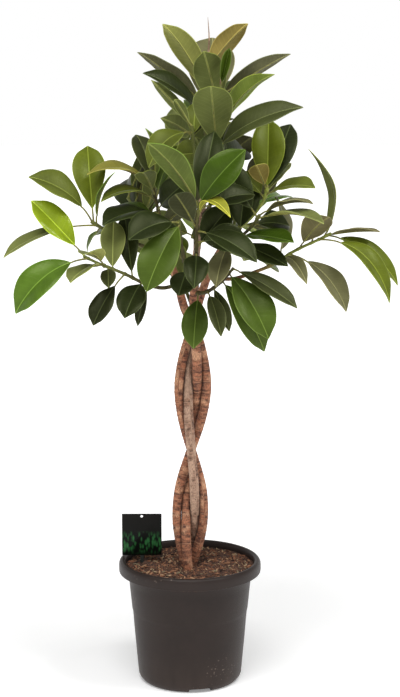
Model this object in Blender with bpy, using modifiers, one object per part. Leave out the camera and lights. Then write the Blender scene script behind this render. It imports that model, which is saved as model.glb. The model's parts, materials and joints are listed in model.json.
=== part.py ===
"""A potted rubber plant: nursery pot, soil, plant label, four braided stems and the leafy shoots on them.

Metres, +Z up. The origin is the middle of the pot's flat underside, and the plant's front faces -Y.
"""

import math
import random

import bmesh
import bpy
from mathutils import Quaternion, Vector, noise
from mathutils.bvhtree import BVHTree

CM = 0.01  # the tables below are in centimetres
GAP = 0.0003  # between pieces that touch
MERGE = 0.00005

# Pot: a moulded nursery pot with a turned-down lip
POT_HEIGHT = 0.208
LIP_RADIUS = 0.120
LIP_HEIGHT = 0.020
LIP_WALL = 0.002
LIP_TOP = 0.004  # thickness of the rim's top
LIP_ROUND = 0.0012
LIP_TAPER = 0.0005
LIP_BEND = 0.003  # height over which the wall widens into the rim
MOUTH_RADIUS = 0.109
POT_WALL = 0.0025
POT_SIDE = ((0.1038, 0.184), (0.0967, 0.121), (0.0937, 0.080), (0.0877, 0.009))  # outer radius, height
FOOT_RADIUS = 0.0795
FOOT_ROUND = 0.0045
POT_STEPS = 32
DRAINS = 4
DRAIN_TURN = math.radians(-78)  # compass turn of the one in front
DRAIN_SIZE = (0.024, 0.038, 0.014)  # along the radius, across, up

# Soil: bark and peat, a little below the pot's mouth
SOIL_LEVEL = 0.1965
SOIL_RINGS = 9
SOIL_LUMP = 0.0035
SOIL_LUMP_WIDTH = 0.016
SOIL_CRUMB = 0.0018
SOIL_CRUMB_WIDTH = 0.006

# Label: a card, nearly square, on a pointed stake
LABEL_WIDE = 0.0672
LABEL_HIGH = 0.0727
LABEL_THICK = 0.0010
LABEL_CORNER = 0.001
LABEL_FOOT = Vector((-0.0816, 0.018, 0.160))
LABEL_CARD_LOW = 0.2087
STAKE_WIDTH = 0.006
STAKE_POINT = 0.012

# Stems: four strands that cross at a waist every BRAID_PITCH, and part above the last waist
STEM_RADIUS = 0.0072
STEM_TOP_RADIUS = 0.0045
STEM_SIDES_RESOLUTION = 2
STEM_FOOT = 0.165
STEM_STEP = 0.0145
BRAID_PITCH = 0.215
BRAID_WAIST = 0.397
BRAID_WIDE = 0.0227  # how far a strand swings at its widest
BRAID_NARROW = 0.0075
BRAID_END = 0.604
BRAID_LEAN = 0.020  # how far the braid leans to +X as it rises
BRAID_UPRIGHT = 0.25  # height at which it stands on the axis

# Shoots
TWIG_ROOT_RADIUS = 0.0034
TWIG_TIP_RADIUS = 0.0021
BUD_RADIUS = 0.0022
BUD_POINT_RADIUS = 0.0005
BUD_SWELL = 0.25  # where along its length a bud is thickest
TWIG_RESOLUTION = 1
TWIG_STEP = 0.028

# Leaves
STALK_RADIUS = 0.0015
LEAF_MIDRIB = 0.0017  # thickness along the middle
LEAF_STATIONS = (0.08, 0.22, 0.40, 0.60, 0.78, 0.92)
LEAF_STALK = 0.16  # share of a leaf that is stalk
BLADE_FULL = 1.12  # above 1, the blade is widest past its middle
BLADE_ROUND = 0.70  # below 1, the outline is rounder than a sine
LEAF_ROOM = 0.0045  # thickness that a leaf is given when its place is tested
FOLD = 14
DROOP = 0.10

FRONT = (0.0, -1.0, 0.4)
BACK = (0.0, 1.0, 0.3)
UP = (0.0, 0.0, 1.0)


def leaf(at, tip, wide=5.6, faces=None, droop=DROOP, fold=FOLD, stalk=LEAF_STALK, full=BLADE_FULL):
    """One leaf: where it leaves its twig (0 foot, 1 top), its tip, its width, and where its upper side looks."""
    shape = {"droop": droop, "fold": fold, "stalk": stalk, "full": full}
    return {"at": at, "tip": tip, "wide": wide, "faces": faces, **shape}


# The strands above the last waist: (strand, points)
STEMS = {
    "stem_front": ("middle", ((0.6, -3.4, 64.5), (0.7, -4.9, 68.5), (1.0, -6.2, 71.5))),
    "stem_right": ("left", ((1.5, 0.9, 64.5), (3.0, 0.6, 69.0), (4.8, 0.0, 73.0), (6.4, -0.6, 76.0))),
    "stem_left": ("right", ((-0.9, -0.9, 64.0), (-1.9, -0.9, 68.0), (-3.4, -0.6, 72.0), (-4.6, -0.5, 75.5))),
    "stem_back": ("dark", ((0.9, 2.9, 65.5), (1.0, 2.9, 71.0), (1.7, 2.4, 76.5), (2.3, 1.8, 81.0))),
}

# The shoots that show from the front: stem, twig from the middle of the stem outwards, bud point, leaves
SHOOTS = {
    "shoot_top_back": {
        "stem": "stem_back",
        "twig": ((2.3, 1.8, 80.9), (2.5, 2.6, 88.0), (2.8, 3.4, 96.0), (3.0, 3.5, 104.0)),
        "bud": (3.0, 3.5, 111.0),
        "leaves": (
            leaf(0.76, (-4.3, 0.0, 110.0), 4.9, (0.5, 1.0, 0.3), stalk=0.08),
            leaf(0.93, (9.5, 2.0, 110.0), 4.0, (-0.2, 1.0, 0.3), droop=0.12, fold=25, stalk=0.1, full=0.85),
            leaf(0.60, (4.0, 10.0, 108.4), 8.2, FRONT),
            leaf(0.68, (-8.4, 1.0, 105.5), 4.0, (0.4, 0.8, 0.8), droop=0.04, full=0.85),
            leaf(0.56, (-7.4, -3.0, 102.3), 5.6, (0.5, -0.6, 1.0)),
            leaf(0.62, (10.0, 13.0, 100.0), 5.8),
            leaf(0.34, (-2.5, -2.0, 89.0), 4.6, FRONT),
            leaf(0.50, (1.0, 15.0, 96.5), 5.8),
        ),
    },
    "shoot_top_front": {
        "stem": "stem_back",
        "twig": ((2.0, 2.1, 78.5), (3.6, -0.4, 81.5), (4.3, -2.4, 87.5), (4.8, -3.4, 95.0), (5.0, -3.5, 100.5)),
        "bud": (5.0, -4.0, 105.0),
        "leaves": (
            leaf(0.78, (2.3, -6.5, 105.5), 5.4, BACK, droop=0.18),
            leaf(0.97, (6.4, -3.0, 106.2), 2.6, FRONT, fold=55),
            leaf(0.54, (3.2, -10.5, 101.5), 6.6, BACK, stalk=0.1),
            leaf(0.62, (13.5, -5.0, 102.2), 6.0, (-0.6, 0.5, 0.6), droop=0.14),
            leaf(0.92, (16.3, 1.0, 105.2), 4.6, (-0.4, 0.8, 0.9), droop=0.03, stalk=0.06, full=0.85),
            leaf(0.57, (18.0, -7.0, 97.1), 6.2, (-0.3, -0.7, 1.0), stalk=0.08, full=0.85),
            leaf(0.46, (9.0, 5.0, 89.5), 5.4, FRONT),
        ),
    },
    "shoot_left_upper": {
        "stem": "stem_back",
        "twig": ((1.6, 2.5, 75.5), (0.9, -0.2, 79.5), (0.9, -2.2, 87.0), (0.4, -4.0, 94.0)),
        "bud": None,
        "leaves": (
            leaf(0.99, (-6.1, -4.0, 101.2), 2.3, BACK, fold=35, full=0.9),
            leaf(0.96, (-2.5, -6.0, 98.5), 2.0, BACK, fold=35),
            leaf(0.90, (-4.7, 2.0, 94.8), 3.6, BACK, full=0.9),
            leaf(0.94, (-6.5, -7.5, 87.5), 5.0, (-0.4, -0.8, 0.6), droop=0.26),
            leaf(0.80, (-5.5, 8.5, 86.5), 5.0, droop=0.04),
            leaf(0.88, (1.0, -1.0, 97.5), 3.0, FRONT),
        ),
    },
    "shoot_right_upper": {
        "stem": "stem_right",
        "twig": ((6.35, -0.58, 75.9), (9.6, -2.2, 78.6), (11.8, -3.0, 81.5), (12.6, -3.0, 84.0)),
        "bud": None,
        "leaves": (
            leaf(0.97, (12.9, 1.5, 94.8), 5.6, FRONT, stalk=0.05),
            leaf(0.94, (16.7, 4.5, 93.7), 4.8, FRONT, stalk=0.06),
            leaf(0.84, (8.2, -1.0, 86.4), 4.4, (0.0, -0.4, 1.0), droop=0.02),
            leaf(0.88, (16.8, 4.0, 87.4), 2.4, UP, droop=0.04),
            leaf(0.86, (20.0, -8.0, 84.4), 5.0, (0.0, -0.4, 1.0), droop=0.11),
            leaf(0.95, (10.5, -7.5, 88.0), 3.4, BACK),
        ),
    },
    "shoot_right_mid": {
        "stem": "stem_right",
        "twig": ((4.75, 0.02, 72.9), (7.4, -3.4, 75.3), (9.8, -6.0, 77.8), (11.2, -7.2, 80.0)),
        "bud": None,
        "leaves": (
            leaf(0.98, (19.5, -11.0, 82.2), 4.6, UP, droop=0.11),
            leaf(0.92, (21.0, -14.0, 79.4), 5.2, UP, droop=0.1),
            leaf(0.25, (4.2, -10.0, 68.8), 4.0, (-0.3, -1.0, 0.2)),
            leaf(0.58, (16.3, -14.0, 76.5), 4.4, (0.0, -0.6, 1.0), droop=0.03, stalk=0.06),
            leaf(0.42, (15.6, -11.0, 72.3), 3.6, (0.2, -1.0, 0.6), droop=0.02),
            leaf(0.80, (16.2, -4.0, 77.8), 5.0, (0.0, -0.6, 0.8)),
            leaf(0.94, (5.2, -2.5, 87.5), 5.0, FRONT),
            leaf(0.50, (9.0, 3.0, 83.5), 5.6, FRONT),
        ),
    },
    "shoot_right_outer": {
        "stem": "stem_right",
        "twig": (
            (2.95, 0.6, 68.8),
            (7.0, -1.2, 68.8),
            (11.0, -2.2, 70.2),
            (14.0, -2.6, 71.6),
            (17.0, -3.0, 73.6),
            (21.0, -3.0, 75.5),
            (23.0, -3.0, 76.5),
        ),
        "bud": None,
        "leaves": (
            leaf(0.74, (22.4, -6.5, 79.6), 5.0, (-0.3, 1.0, 0.3)),
            leaf(0.99, (30.6, -6.5, 77.2), 4.4, (0.0, 0.1, 1.0), droop=0.03, stalk=0.04),
            leaf(0.97, (33.7, -6.0, 68.4), 4.6, (0.3, -0.5, 1.0), droop=0.14, stalk=0.14, full=0.92),
            leaf(0.90, (32.1, -9.0, 66.0), 4.4, (0.3, -0.6, 1.0), droop=0.24, stalk=0.22, full=0.92),
            leaf(0.66, (25.2, -8.5, 64.5), 5.4, (0.4, -0.5, 0.8), droop=0.16, stalk=0.24),
            leaf(0.58, (18.7, -10.0, 69.2), 2.6, (0.2, -0.8, 0.6), droop=0.25),
            leaf(0.94, (19.1, -2.0, 90.0), 3.8, (-1.0, -0.3, 0.2), droop=-0.22, stalk=0.05, full=0.8),
            leaf(0.84, (23.0, 9.0, 76.0), 4.0, UP),
            leaf(0.56, (14.4, 9.0, 81.2), 4.4),
            leaf(0.48, (12.0, 9.0, 70.5), 5.4),
        ),
    },
    "shoot_front_centre": {
        "stem": "stem_front",
        "twig": ((1.0, -6.15, 71.4), (1.1, -8.4, 75.5), (1.2, -10.0, 79.0), (1.6, -11.0, 82.5)),
        "bud": (2.5, -11.0, 85.0),
        "leaves": (
            leaf(0.99, (8.7, -9.5, 90.7), 5.6, (-0.3, -1.0, 0.4), stalk=0.04),
            leaf(0.92, (-6.5, -14.0, 92.0), 5.2, (0.5, 1.0, 0.4), stalk=0.10),
            leaf(0.72, (6.4, -15.0, 80.5), 3.0, (0.2, -0.4, 1.0), droop=0.42),
            leaf(0.88, (9.5, -5.0, 83.0), 4.8, (0.0, -0.8, 1.0)),
            leaf(0.86, (4.0, -5.0, 93.2), 4.8, FRONT),
            leaf(0.40, (9.0, -8.0, 76.5), 4.8, FRONT),
            leaf(0.58, (10.5, -16.0, 73.6), 5.0, (0.1, -0.7, 1.0)),
            leaf(0.30, (6.5, -6.0, 81.0), 5.0, FRONT),
            leaf(0.22, (0.7, -15.0, 69.3), 4.2, (0.1, -0.7, 1.0), droop=0.16),
            leaf(0.60, (-2.5, -13.5, 84.5), 4.4, BACK),
        ),
    },
    "shoot_front_low": {
        "stem": "stem_front",
        "twig": ((0.65, -5.05, 68.8), (-0.7, -7.0, 72.0), (-1.4, -9.4, 76.5), (-1.6, -11.0, 79.5)),
        "bud": None,
        "leaves": (
            leaf(0.97, (-9.5, -15.0, 77.0), 6.2, (-0.2, -0.8, 1.0), droop=0.14),
            leaf(0.94, (-6.7, -17.5, 69.2), 6.4, (-0.2, -1.0, 0.5), droop=0.12, stalk=0.04, full=1.3),
            leaf(0.36, (-6.5, -7.5, 79.0), 5.2, FRONT),
            leaf(0.24, (-1.8, -9.5, 67.3), 4.2, FRONT),
        ),
    },
    "shoot_left_mid": {
        "stem": "stem_left",
        "twig": ((-4.58, -0.5, 75.4), (-5.0, -1.0, 79.5), (-6.0, -1.5, 84.0)),
        "bud": None,
        "leaves": (
            leaf(0.94, (-8.8, 4.5, 92.0), 4.6, (0.5, -1.0, 0.4)),
            leaf(0.99, (-7.0, -3.0, 93.5), 3.4, (1.0, 0.2, 0.2), fold=35),
            leaf(0.90, (-16.5, -4.0, 86.2), 5.4, (0.0, -0.2, 1.0), droop=0.2, stalk=0.1),
            leaf(0.82, (-8.0, -8.0, 88.4), 3.6, BACK),
            leaf(0.72, (-14.2, -6.0, 82.0), 4.4, (0.0, -0.2, 1.0), droop=0.18),
            leaf(0.46, (-13.8, -10.0, 78.7), 5.6, (0.0, -0.3, 1.0)),
            leaf(0.72, (-1.5, 7.0, 89.5), 5.2),
            leaf(0.55, (0.0, -6.5, 85.5), 4.8, FRONT),
            leaf(0.36, (-14.0, 5.0, 79.0), 5.4),
        ),
    },
    "shoot_left_outer": {
        "stem": "stem_left",
        "twig": (
            (-3.7, -0.58, 72.8),
            (-7.0, -1.3, 74.0),
            (-10.5, -2.2, 75.5),
            (-13.5, -3.0, 77.0),
            (-16.0, -3.0, 78.5),
        ),
        "bud": None,
        "leaves": (
            leaf(0.98, (-25.7, -6.0, 86.0), 6.4, (0.3, -0.6, 1.0), droop=0.14, stalk=0.24),
            leaf(0.96, (-16.7, 2.5, 90.3), 5.6, FRONT, full=1.3),
            leaf(0.92, (-11.9, -6.5, 86.8), 2.4, (-1.0, 0.2, 0.4)),
            leaf(0.86, (-16.8, -0.5, 73.2), 1.6, (-0.8, -0.4, 0.4)),
            leaf(0.90, (-29.8, -8.0, 73.3), 4.2, (0.0, -0.2, 1.0), droop=0.1, stalk=0.34),
            leaf(0.76, (-12.4, 9.0, 79.5), 4.4),
            leaf(0.60, (-11.5, 9.5, 72.5), 5.0),
        ),
    },
    "shoot_left_lower": {
        "stem": "stem_left",
        "twig": (
            (-1.85, -0.9, 67.8),
            (-4.6, -3.2, 67.6),
            (-7.5, -5.6, 68.8),
            (-10.5, -7.0, 70.5),
            (-14.5, -8.0, 72.3),
            (-17.0, -8.0, 73.5),
        ),
        "bud": None,
        "leaves": (
            leaf(0.98, (-25.3, -6.0, 82.2), 5.4, (0.5, -0.8, 0.6), droop=0.02, stalk=0.2),
            leaf(0.95, (-27.6, -12.5, 64.9), 6.2, (-0.4, -0.9, 0.6), droop=0.22, stalk=0.2),
            leaf(0.80, (-18.6, -16.0, 70.4), 4.8, (0.0, 0.2, 1.0)),
            leaf(0.80, (-16.5, -16.0, 74.8), 4.2, (0.2, 0.8, 0.6)),
            leaf(0.76, (-12.8, -12.5, 69.0), 2.6, (0.0, -1.0, 0.4)),
            leaf(0.60, (-15.3, -12.5, 63.0), 3.9, (-0.4, -1.0, 0.3), stalk=0.28, full=1.3),
            leaf(0.42, (-10.3, -12.5, 64.2), 4.8, (-0.2, -1.0, 0.3), stalk=0.08, full=1.3),
            leaf(0.34, (-8.4, -7.0, 61.9), 1.8, (-0.3, -1.0, 0.2)),
            leaf(0.72, (-12.3, -3.0, 78.6), 4.2, FRONT, stalk=0.04),
            leaf(0.52, (-10.5, 1.0, 78.5), 3.6, FRONT, stalk=0.08),
        ),
    },
    "shoot_right_low": {
        "stem": "stem_front",
        "twig": ((0.42, -4.3, 67.0), (2.6, -5.2, 67.2), (5.0, -6.6, 69.0), (7.0, -8.0, 71.5)),
        "bud": None,
        "leaves": (
            leaf(0.86, (12.5, -13.5, 61.0), 6.4, (0.4, -1.0, 0.5), stalk=0.06, full=1.25),
            leaf(0.99, (17.1, -12.0, 65.7), 4.2, (0.2, -0.6, 1.0), droop=0.05, stalk=0.1),
            leaf(0.66, (12.1, -8.0, 57.9), 5.0, (0.5, -1.0, 0.2), stalk=0.06),
            leaf(0.30, (5.0, -12.5, 61.2), 3.2, (0.2, -1.0, 0.2), fold=30),
            leaf(0.44, (6.0, -10.5, 62.3), 2.5, (0.2, -1.0, 0.2), fold=30, stalk=0.06),
            leaf(0.12, (0.6, -9.5, 58.7), 4.5, (-0.1, -1.0, 0.2)),
        ),
    },
}

# The shoots behind: stem, height of the root, compass turn (90 is straight back), rise, reach, leaves
REAR_SHOOTS = {
    "shoot_rear_1": ("stem_right", 71.0, 44, 34, 12, 7),
    "shoot_rear_2": ("stem_right", 66.0, 66, 26, 17, 7),
    "shoot_rear_3": ("stem_back", 67.5, 90, 22, 18, 7),
    "shoot_rear_4": ("stem_left", 66.5, 114, 22, 17, 7),
    "shoot_rear_5": ("stem_left", 71.5, 134, 34, 12, 7),
    "shoot_rear_6": ("stem_back", 73.5, 66, 44, 13, 7),
    "shoot_rear_7": ("stem_back", 77.0, 112, 44, 12, 7),
    "shoot_rear_8": ("stem_back", 64.0, 102, 14, 15, 6),
}
GOLDEN_TURN = 137.5
REAR_SEED = 7
REAR_LEAF_LENGTH = (12.0, 15.0)
REAR_LEAF_WIDTH = (5.0, 6.6)
REAR_LEAF_LEAN = (78, 32)  # between leaf and twig, at the shoot's foot and at its top
REAR_LEAF_SAG = 1.5
REAR_LEAF_TURN = 12  # how far its turn round the twig may stray, in degrees
REAR_LEAF_DROOP = (0.06, 0.16)
LAST_LEAF = 0.99  # share of the twig where its last leaf grows
REAR_LEAFLESS = 0.5  # share of a rear twig without leaves
REAR_TWIG_SHARES = (0.0, 0.35, 0.7, 1.0)  # of its reach, where a rear twig's points lie
REAR_TWIG_LIFT = 0.22  # how much a rear twig turns up along its reach
REAR_MIDDLE = 3.5
REAR_SPREAD = ((73.0, 9.0), (78.0, 14.0), (86.0, 10.0), (98.0, 3.0))  # height, reach to either side

# Where a leaf may go when its own place is taken: swings in depth and sideways, in degrees
DEPTH_SWINGS = (0, 6, -6, 12, -12, 18, -18, 25, -25, 32, -32, 40, -40, 50, -50)
SIDE_SWINGS = (0, 5, -5, 10, -10, 16, -16)
SIDE_COST = 2.5

COLOURS = {
    "pot": (0.024, 0.020, 0.018, 0.45),
    "soil": (0.060, 0.030, 0.014, 0.95),
    "label": (0.010, 0.022, 0.014, 0.40),
    "bark": (0.150, 0.075, 0.030, 0.75),
    "leaves": (0.045, 0.095, 0.022, 0.32),
}


def clear_scene():
    for old in list(bpy.data.objects):
        bpy.data.objects.remove(old)


def new_collection(name, hidden=False):
    made = bpy.data.collections.new(name)
    bpy.context.scene.collection.children.link(made)
    made.hide_render = hidden
    return made


def new_material(name):
    red, green, blue, roughness = COLOURS[name]
    material = bpy.data.materials.new(name)
    material.use_nodes = True
    shader = material.node_tree.nodes["Principled BSDF"]
    shader.inputs["Base Color"].default_value = (red, green, blue, 1.0)
    shader.inputs["Roughness"].default_value = roughness
    shader.inputs["Metallic"].default_value = 0.0
    return material


def new_object(name, data, home, material=None):
    made = bpy.data.objects.new(name, data)
    home.objects.link(made)
    if material is not None:
        data.materials.append(material)
    return made


def as_cutter(cutter):
    cutter.hide_render = True
    cutter.display_type = "WIRE"
    return cutter


def evaluated_mesh(obj):
    """The object's mesh with its modifiers or its bevel made real."""
    bpy.context.view_layer.update()
    graph = bpy.context.evaluated_depsgraph_get()
    return bpy.data.meshes.new_from_object(obj.evaluated_get(graph))


def made_real(obj):
    """Swaps the object for a plain closed mesh object of the same name, place and material."""
    mesh = evaluated_mesh(obj)
    work = bmesh.new()
    work.from_mesh(mesh)
    bmesh.ops.remove_doubles(work, verts=work.verts, dist=MERGE)
    work.to_mesh(mesh)
    work.free()
    name = obj.name
    home = obj.users_collection[0]
    bpy.data.objects.remove(obj)
    mesh.name = name
    return new_object(name, mesh, home)


def turned(name, profile, steps, home, material):
    """A profile of (radius, height) points, turned about Z."""
    mesh = bpy.data.meshes.new(name)
    edges = [(i, i + 1) for i in range(len(profile) - 1)]
    mesh.from_pydata([(radius, 0.0, height) for radius, height in profile], edges, [])
    made = new_object(name, mesh, home, material)
    screw = made.modifiers.new("turn", "SCREW")
    screw.axis = "Z"
    screw.steps = screw.render_steps = steps
    screw.use_merge_vertices = True
    screw.merge_threshold = MERGE
    return made


def tube(name, points, radii, resolution, home, material=None):
    """A round bar along the points, with a radius at each, as a closed mesh."""
    curve = bpy.data.curves.new(name, "CURVE")
    curve.dimensions = "3D"
    curve.bevel_depth = max(radii)
    curve.bevel_resolution = resolution
    curve.use_fill_caps = True
    spline = curve.splines.new("POLY")
    spline.points.add(len(points) - 1)
    for place, point, radius in zip(spline.points, points, radii):
        place.co = (*point, 1.0)
        place.radius = radius / max(radii)
    made = made_real(new_object(name, curve, home, material))
    made.data.shade_smooth()
    return made


def boolean(target, operation, other, solver="EXACT"):
    """Adds a Boolean with an object, or with all that a collection holds."""
    modifier = target.modifiers.new(operation.lower(), "BOOLEAN")
    modifier.operation = operation
    modifier.solver = solver
    if isinstance(other, bpy.types.Collection):
        modifier.operand_type = "COLLECTION"
        modifier.collection = other
    else:
        modifier.object = other
    return modifier


def keep_largest_body(mesh):
    """Drops the scraps that a cut left loose."""
    work = bmesh.new()
    work.from_mesh(mesh)
    unseen = set(work.verts)
    bodies = []
    while unseen:
        front = [unseen.pop()]
        body = set(front)
        while front:
            vert = front.pop()
            near = {edge.other_vert(vert) for edge in vert.link_edges} & unseen
            unseen -= near
            body |= near
            front.extend(near)
        bodies.append(body)
    bodies.sort(key=len)
    loose = [vert for body in bodies[:-1] for vert in body]
    bmesh.ops.delete(work, geom=loose, context="VERTS")
    work.to_mesh(mesh)
    work.free()


def smooth_path(points, step):
    """Points on a smooth curve through the given ones, about a step apart."""
    path = []
    ends = [points[0] * 2 - points[1], *points, points[-1] * 2 - points[-2]]
    for before, start, end, after in zip(ends, ends[1:], ends[2:], ends[3:]):
        parts = max(1, round((end - start).length / step))
        for i in range(parts):
            t = i / parts
            bend = 2 * before - 5 * start + 4 * end - after
            twist = 3 * start - before - 3 * end + after
            path.append(start + 0.5 * t * ((end - before) + t * (bend + t * twist)))
    path.append(points[-1].copy())
    return path


def place_on(path, share):
    """The point a share of the way along a path, and the path's direction there."""
    lengths = [(b - a).length for a, b in zip(path, path[1:])]
    left = share * sum(lengths)
    for start, end, length in zip(path, path[1:], lengths):
        if left <= length:
            break
        left -= length
    return start.lerp(end, min(left / length, 1.0)), (end - start).normalized()


def braid_point(strand, height):
    """The middle of a strand of the braid: two strands swing in front and behind, two left and right."""
    turn = math.pi * (height - BRAID_WAIST) / BRAID_PITCH
    wide = BRAID_WIDE * math.sin(turn), BRAID_WIDE * math.cos(turn)
    narrow = BRAID_NARROW * math.sin(turn), BRAID_NARROW * math.cos(turn)
    places = {
        "left": (-wide[0], -narrow[1]),
        "right": (wide[0], narrow[1]),
        "middle": (narrow[0], wide[1]),
        "dark": (-narrow[0], -wide[1]),
    }
    across, back = places[strand]
    return Vector((across + BRAID_LEAN * (height - BRAID_UPRIGHT), back, height))


def stem_path(strand, branch):
    count = round((BRAID_END - STEM_FOOT) / STEM_STEP)
    rise = (BRAID_END - STEM_FOOT) / count
    braid = [braid_point(strand, STEM_FOOT + rise * i) for i in range(count + 1)]
    upper = smooth_path([braid[-1]] + [Vector(point) * CM for point in branch], 2 * STEM_STEP)
    return braid + upper[1:]


def stem_radii(path):
    """Even along the braid, then thinner to the top."""
    high = path[-1].z
    return [
        STEM_RADIUS + (STEM_TOP_RADIUS - STEM_RADIUS) * max(0.0, (point.z - BRAID_END) / (high - BRAID_END))
        for point in path
    ]


def make_pot(home, cutters, material):
    lip_low = POT_HEIGHT - LIP_HEIGHT
    inner_side = [(radius - POT_WALL, height) for radius, height in reversed(POT_SIDE)]
    profile = [
        (0.0, POT_WALL),
        (FOOT_RADIUS - POT_WALL, POT_WALL),
        *inner_side,
        (MOUTH_RADIUS, lip_low + LIP_BEND),
        (MOUTH_RADIUS, POT_HEIGHT - LIP_ROUND),
        (MOUTH_RADIUS + LIP_ROUND, POT_HEIGHT),
        (LIP_RADIUS - LIP_ROUND, POT_HEIGHT),
        (LIP_RADIUS, POT_HEIGHT - LIP_ROUND),
        (LIP_RADIUS - LIP_TAPER, lip_low),
        (LIP_RADIUS - LIP_TAPER - LIP_WALL, lip_low),
        (LIP_RADIUS - LIP_WALL, POT_HEIGHT - LIP_TOP),
        (MOUTH_RADIUS + POT_WALL, POT_HEIGHT - LIP_TOP),
        (MOUTH_RADIUS + POT_WALL, lip_low + LIP_BEND),
        *POT_SIDE,
        (FOOT_RADIUS + FOOT_ROUND, FOOT_ROUND),
        (FOOT_RADIUS, 0.0),
        (0.0, 0.0),
    ]
    pot = turned("pot", profile, POT_STEPS, home, material)
    for i in range(DRAINS):
        turn = DRAIN_TURN + 2 * math.pi * i / DRAINS
        mesh = bpy.data.meshes.new(f"drain_{i + 1}")
        work = bmesh.new()
        bmesh.ops.create_cube(work, size=1.0)
        bmesh.ops.scale(work, vec=DRAIN_SIZE, verts=work.verts)
        work.to_mesh(mesh)
        work.free()
        drain = as_cutter(new_object(mesh.name, mesh, cutters))
        drain.location = (FOOT_RADIUS * math.cos(turn), FOOT_RADIUS * math.sin(turn), 0.0)
        drain.rotation_euler.z = turn
        boolean(pot, "DIFFERENCE", drain)
    return pot


def soil_height(x, y):
    """Lumps of bark and finer crumbs."""
    place = Vector((x, y, 0.0))
    lumps = SOIL_LUMP * noise.noise(place / SOIL_LUMP_WIDTH)
    crumbs = SOIL_CRUMB * noise.noise(place / SOIL_CRUMB_WIDTH)
    return lumps + crumbs


def make_soil(home, material):
    """The soil's side follows the inside of the pot, a gap away."""
    inside = POT_WALL + GAP
    side = [(radius - inside, height) for radius, height in POT_SIDE]
    edge = MOUTH_RADIUS - 2 * GAP
    rings = [(edge * i / SOIL_RINGS, SOIL_LEVEL) for i in range(SOIL_RINGS + 1)]
    shoulder = (edge, POT_HEIGHT - LIP_HEIGHT + LIP_BEND)
    profile = [*rings, shoulder, *side, (FOOT_RADIUS - inside, inside), (0.0, inside)]
    soil = made_real(turned("soil", profile, POT_STEPS, home, material))
    for vert in soil.data.vertices:
        reach = math.hypot(vert.co.x, vert.co.y)
        if vert.co.z > SOIL_LEVEL - MERGE and reach < edge - MERGE:
            vert.co.z += soil_height(vert.co.x, vert.co.y)
    return soil


def label_shape(name, grow, home, material=None):
    """The card and its stake as one flat outline, each side grown by the given amount."""
    half = LABEL_WIDE / 2 + grow
    stake = STAKE_WIDTH / 2 + grow
    low = LABEL_CARD_LOW - LABEL_FOOT.z - grow
    high = low + LABEL_HIGH + 2 * grow
    corner = LABEL_CORNER
    corners = [
        (0.0, -grow),
        (stake, STAKE_POINT - grow),
        (stake, low),
        (half - corner, low),
        (half, low + corner),
        (half, high - corner),
        (half - corner, high),
        (corner - half, high),
        (-half, high - corner),
        (-half, low + corner),
        (corner - half, low),
        (-stake, low),
        (-stake, STAKE_POINT - grow),
    ]
    curve = bpy.data.curves.new(name, "CURVE")
    curve.dimensions = "2D"
    curve.fill_mode = "BOTH"
    curve.extrude = LABEL_THICK / 2 + grow
    spline = curve.splines.new("POLY")
    spline.points.add(len(corners) - 1)
    spline.use_cyclic_u = True
    for place, (across, up) in zip(spline.points, corners):
        place.co = (across, up, 0.0, 1.0)
    made = made_real(new_object(name, curve, home, material))
    made.location = LABEL_FOOT
    made.rotation_euler.x = math.pi / 2
    return made


def blade_share(u, full):
    """Half the blade's width at u, from its foot at 0 to its point at 1, as a share of the widest."""
    return math.sin(math.pi * u**full) ** BLADE_ROUND


class Leaf:
    """A leaf in place: its foot, its three axes, and its shape."""

    def __init__(self, row, foot, axis, swing=(0, 0)):
        self.foot = foot
        reach = Vector(row["tip"]) * CM - foot
        facing = Vector(row["faces"]) if row["faces"] else axis.copy()
        depth, side = swing
        across_depth = reach.cross(Vector((0.0, 1.0, 0.0)))
        aside = Quaternion((0.0, 1.0, 0.0), math.radians(side))
        turn = aside @ Quaternion(across_depth, math.radians(depth))
        reach = turn @ reach
        facing = turn @ facing
        self.length = reach.length
        self.along = reach.normalized()
        self.across = self.along.cross(facing).normalized()
        self.out = self.across.cross(self.along)
        self.half = row["wide"] * CM / 2
        self.droop = row["droop"]
        self.fold = math.radians(row["fold"])
        self.stalk = row["stalk"]
        self.full = row["full"]

    def section(self, share, half, thick, fold):
        """The section's four corners: left edge, underside, right edge, upper side."""
        arch = 4 * self.droop
        middle = self.foot + self.length * (self.along * share + self.out * arch * share * (1 - share))
        ahead = (self.along + self.out * arch * (1 - 2 * share)).normalized()
        out = self.across.cross(ahead)
        rise = out * half * math.sin(fold)
        reach = self.across * half * math.cos(fold)
        skin = out * thick / 2
        return [middle - reach + rise, middle - skin, middle + reach + rise, middle + skin]

    def shape(self, thick, blade_only=False):
        """Points and triangles of the leaf. Both faces are split alike, so that they never cross."""
        rings = []
        if not blade_only:
            rings.append(self.section(0.0, STALK_RADIUS, 2 * STALK_RADIUS, 0.0))
            rings.append(self.section(self.stalk, STALK_RADIUS, 2 * STALK_RADIUS, 0.0))
        for station in LEAF_STATIONS:
            share = self.stalk + (1 - self.stalk) * station
            half = self.half * blade_share(station, self.full)
            rings.append(self.section(share, half, thick, self.fold))
        points = [point for ring in rings for point in ring]
        points.append(self.foot + self.along * self.length)
        left, under, right, upper = range(4)
        faces = [(left, upper, right), (left, right, under)]
        for start in range(0, 4 * (len(rings) - 1), 4):
            end = start + 4
            for edge in (left, right):
                for middle in (upper, under):
                    faces.append((start + edge, start + middle, end + middle))
                    faces.append((start + edge, end + middle, end + edge))
        last = 4 * (len(rings) - 1)
        tip = len(points) - 1
        faces += [(last + a, last + b, tip) for a, b in ((0, 1), (1, 2), (2, 3), (3, 0))]
        return points, faces

    def tree(self, blade_only=False):
        return BVHTree.FromPolygons(*self.shape(LEAF_ROOM, blade_only))


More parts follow.
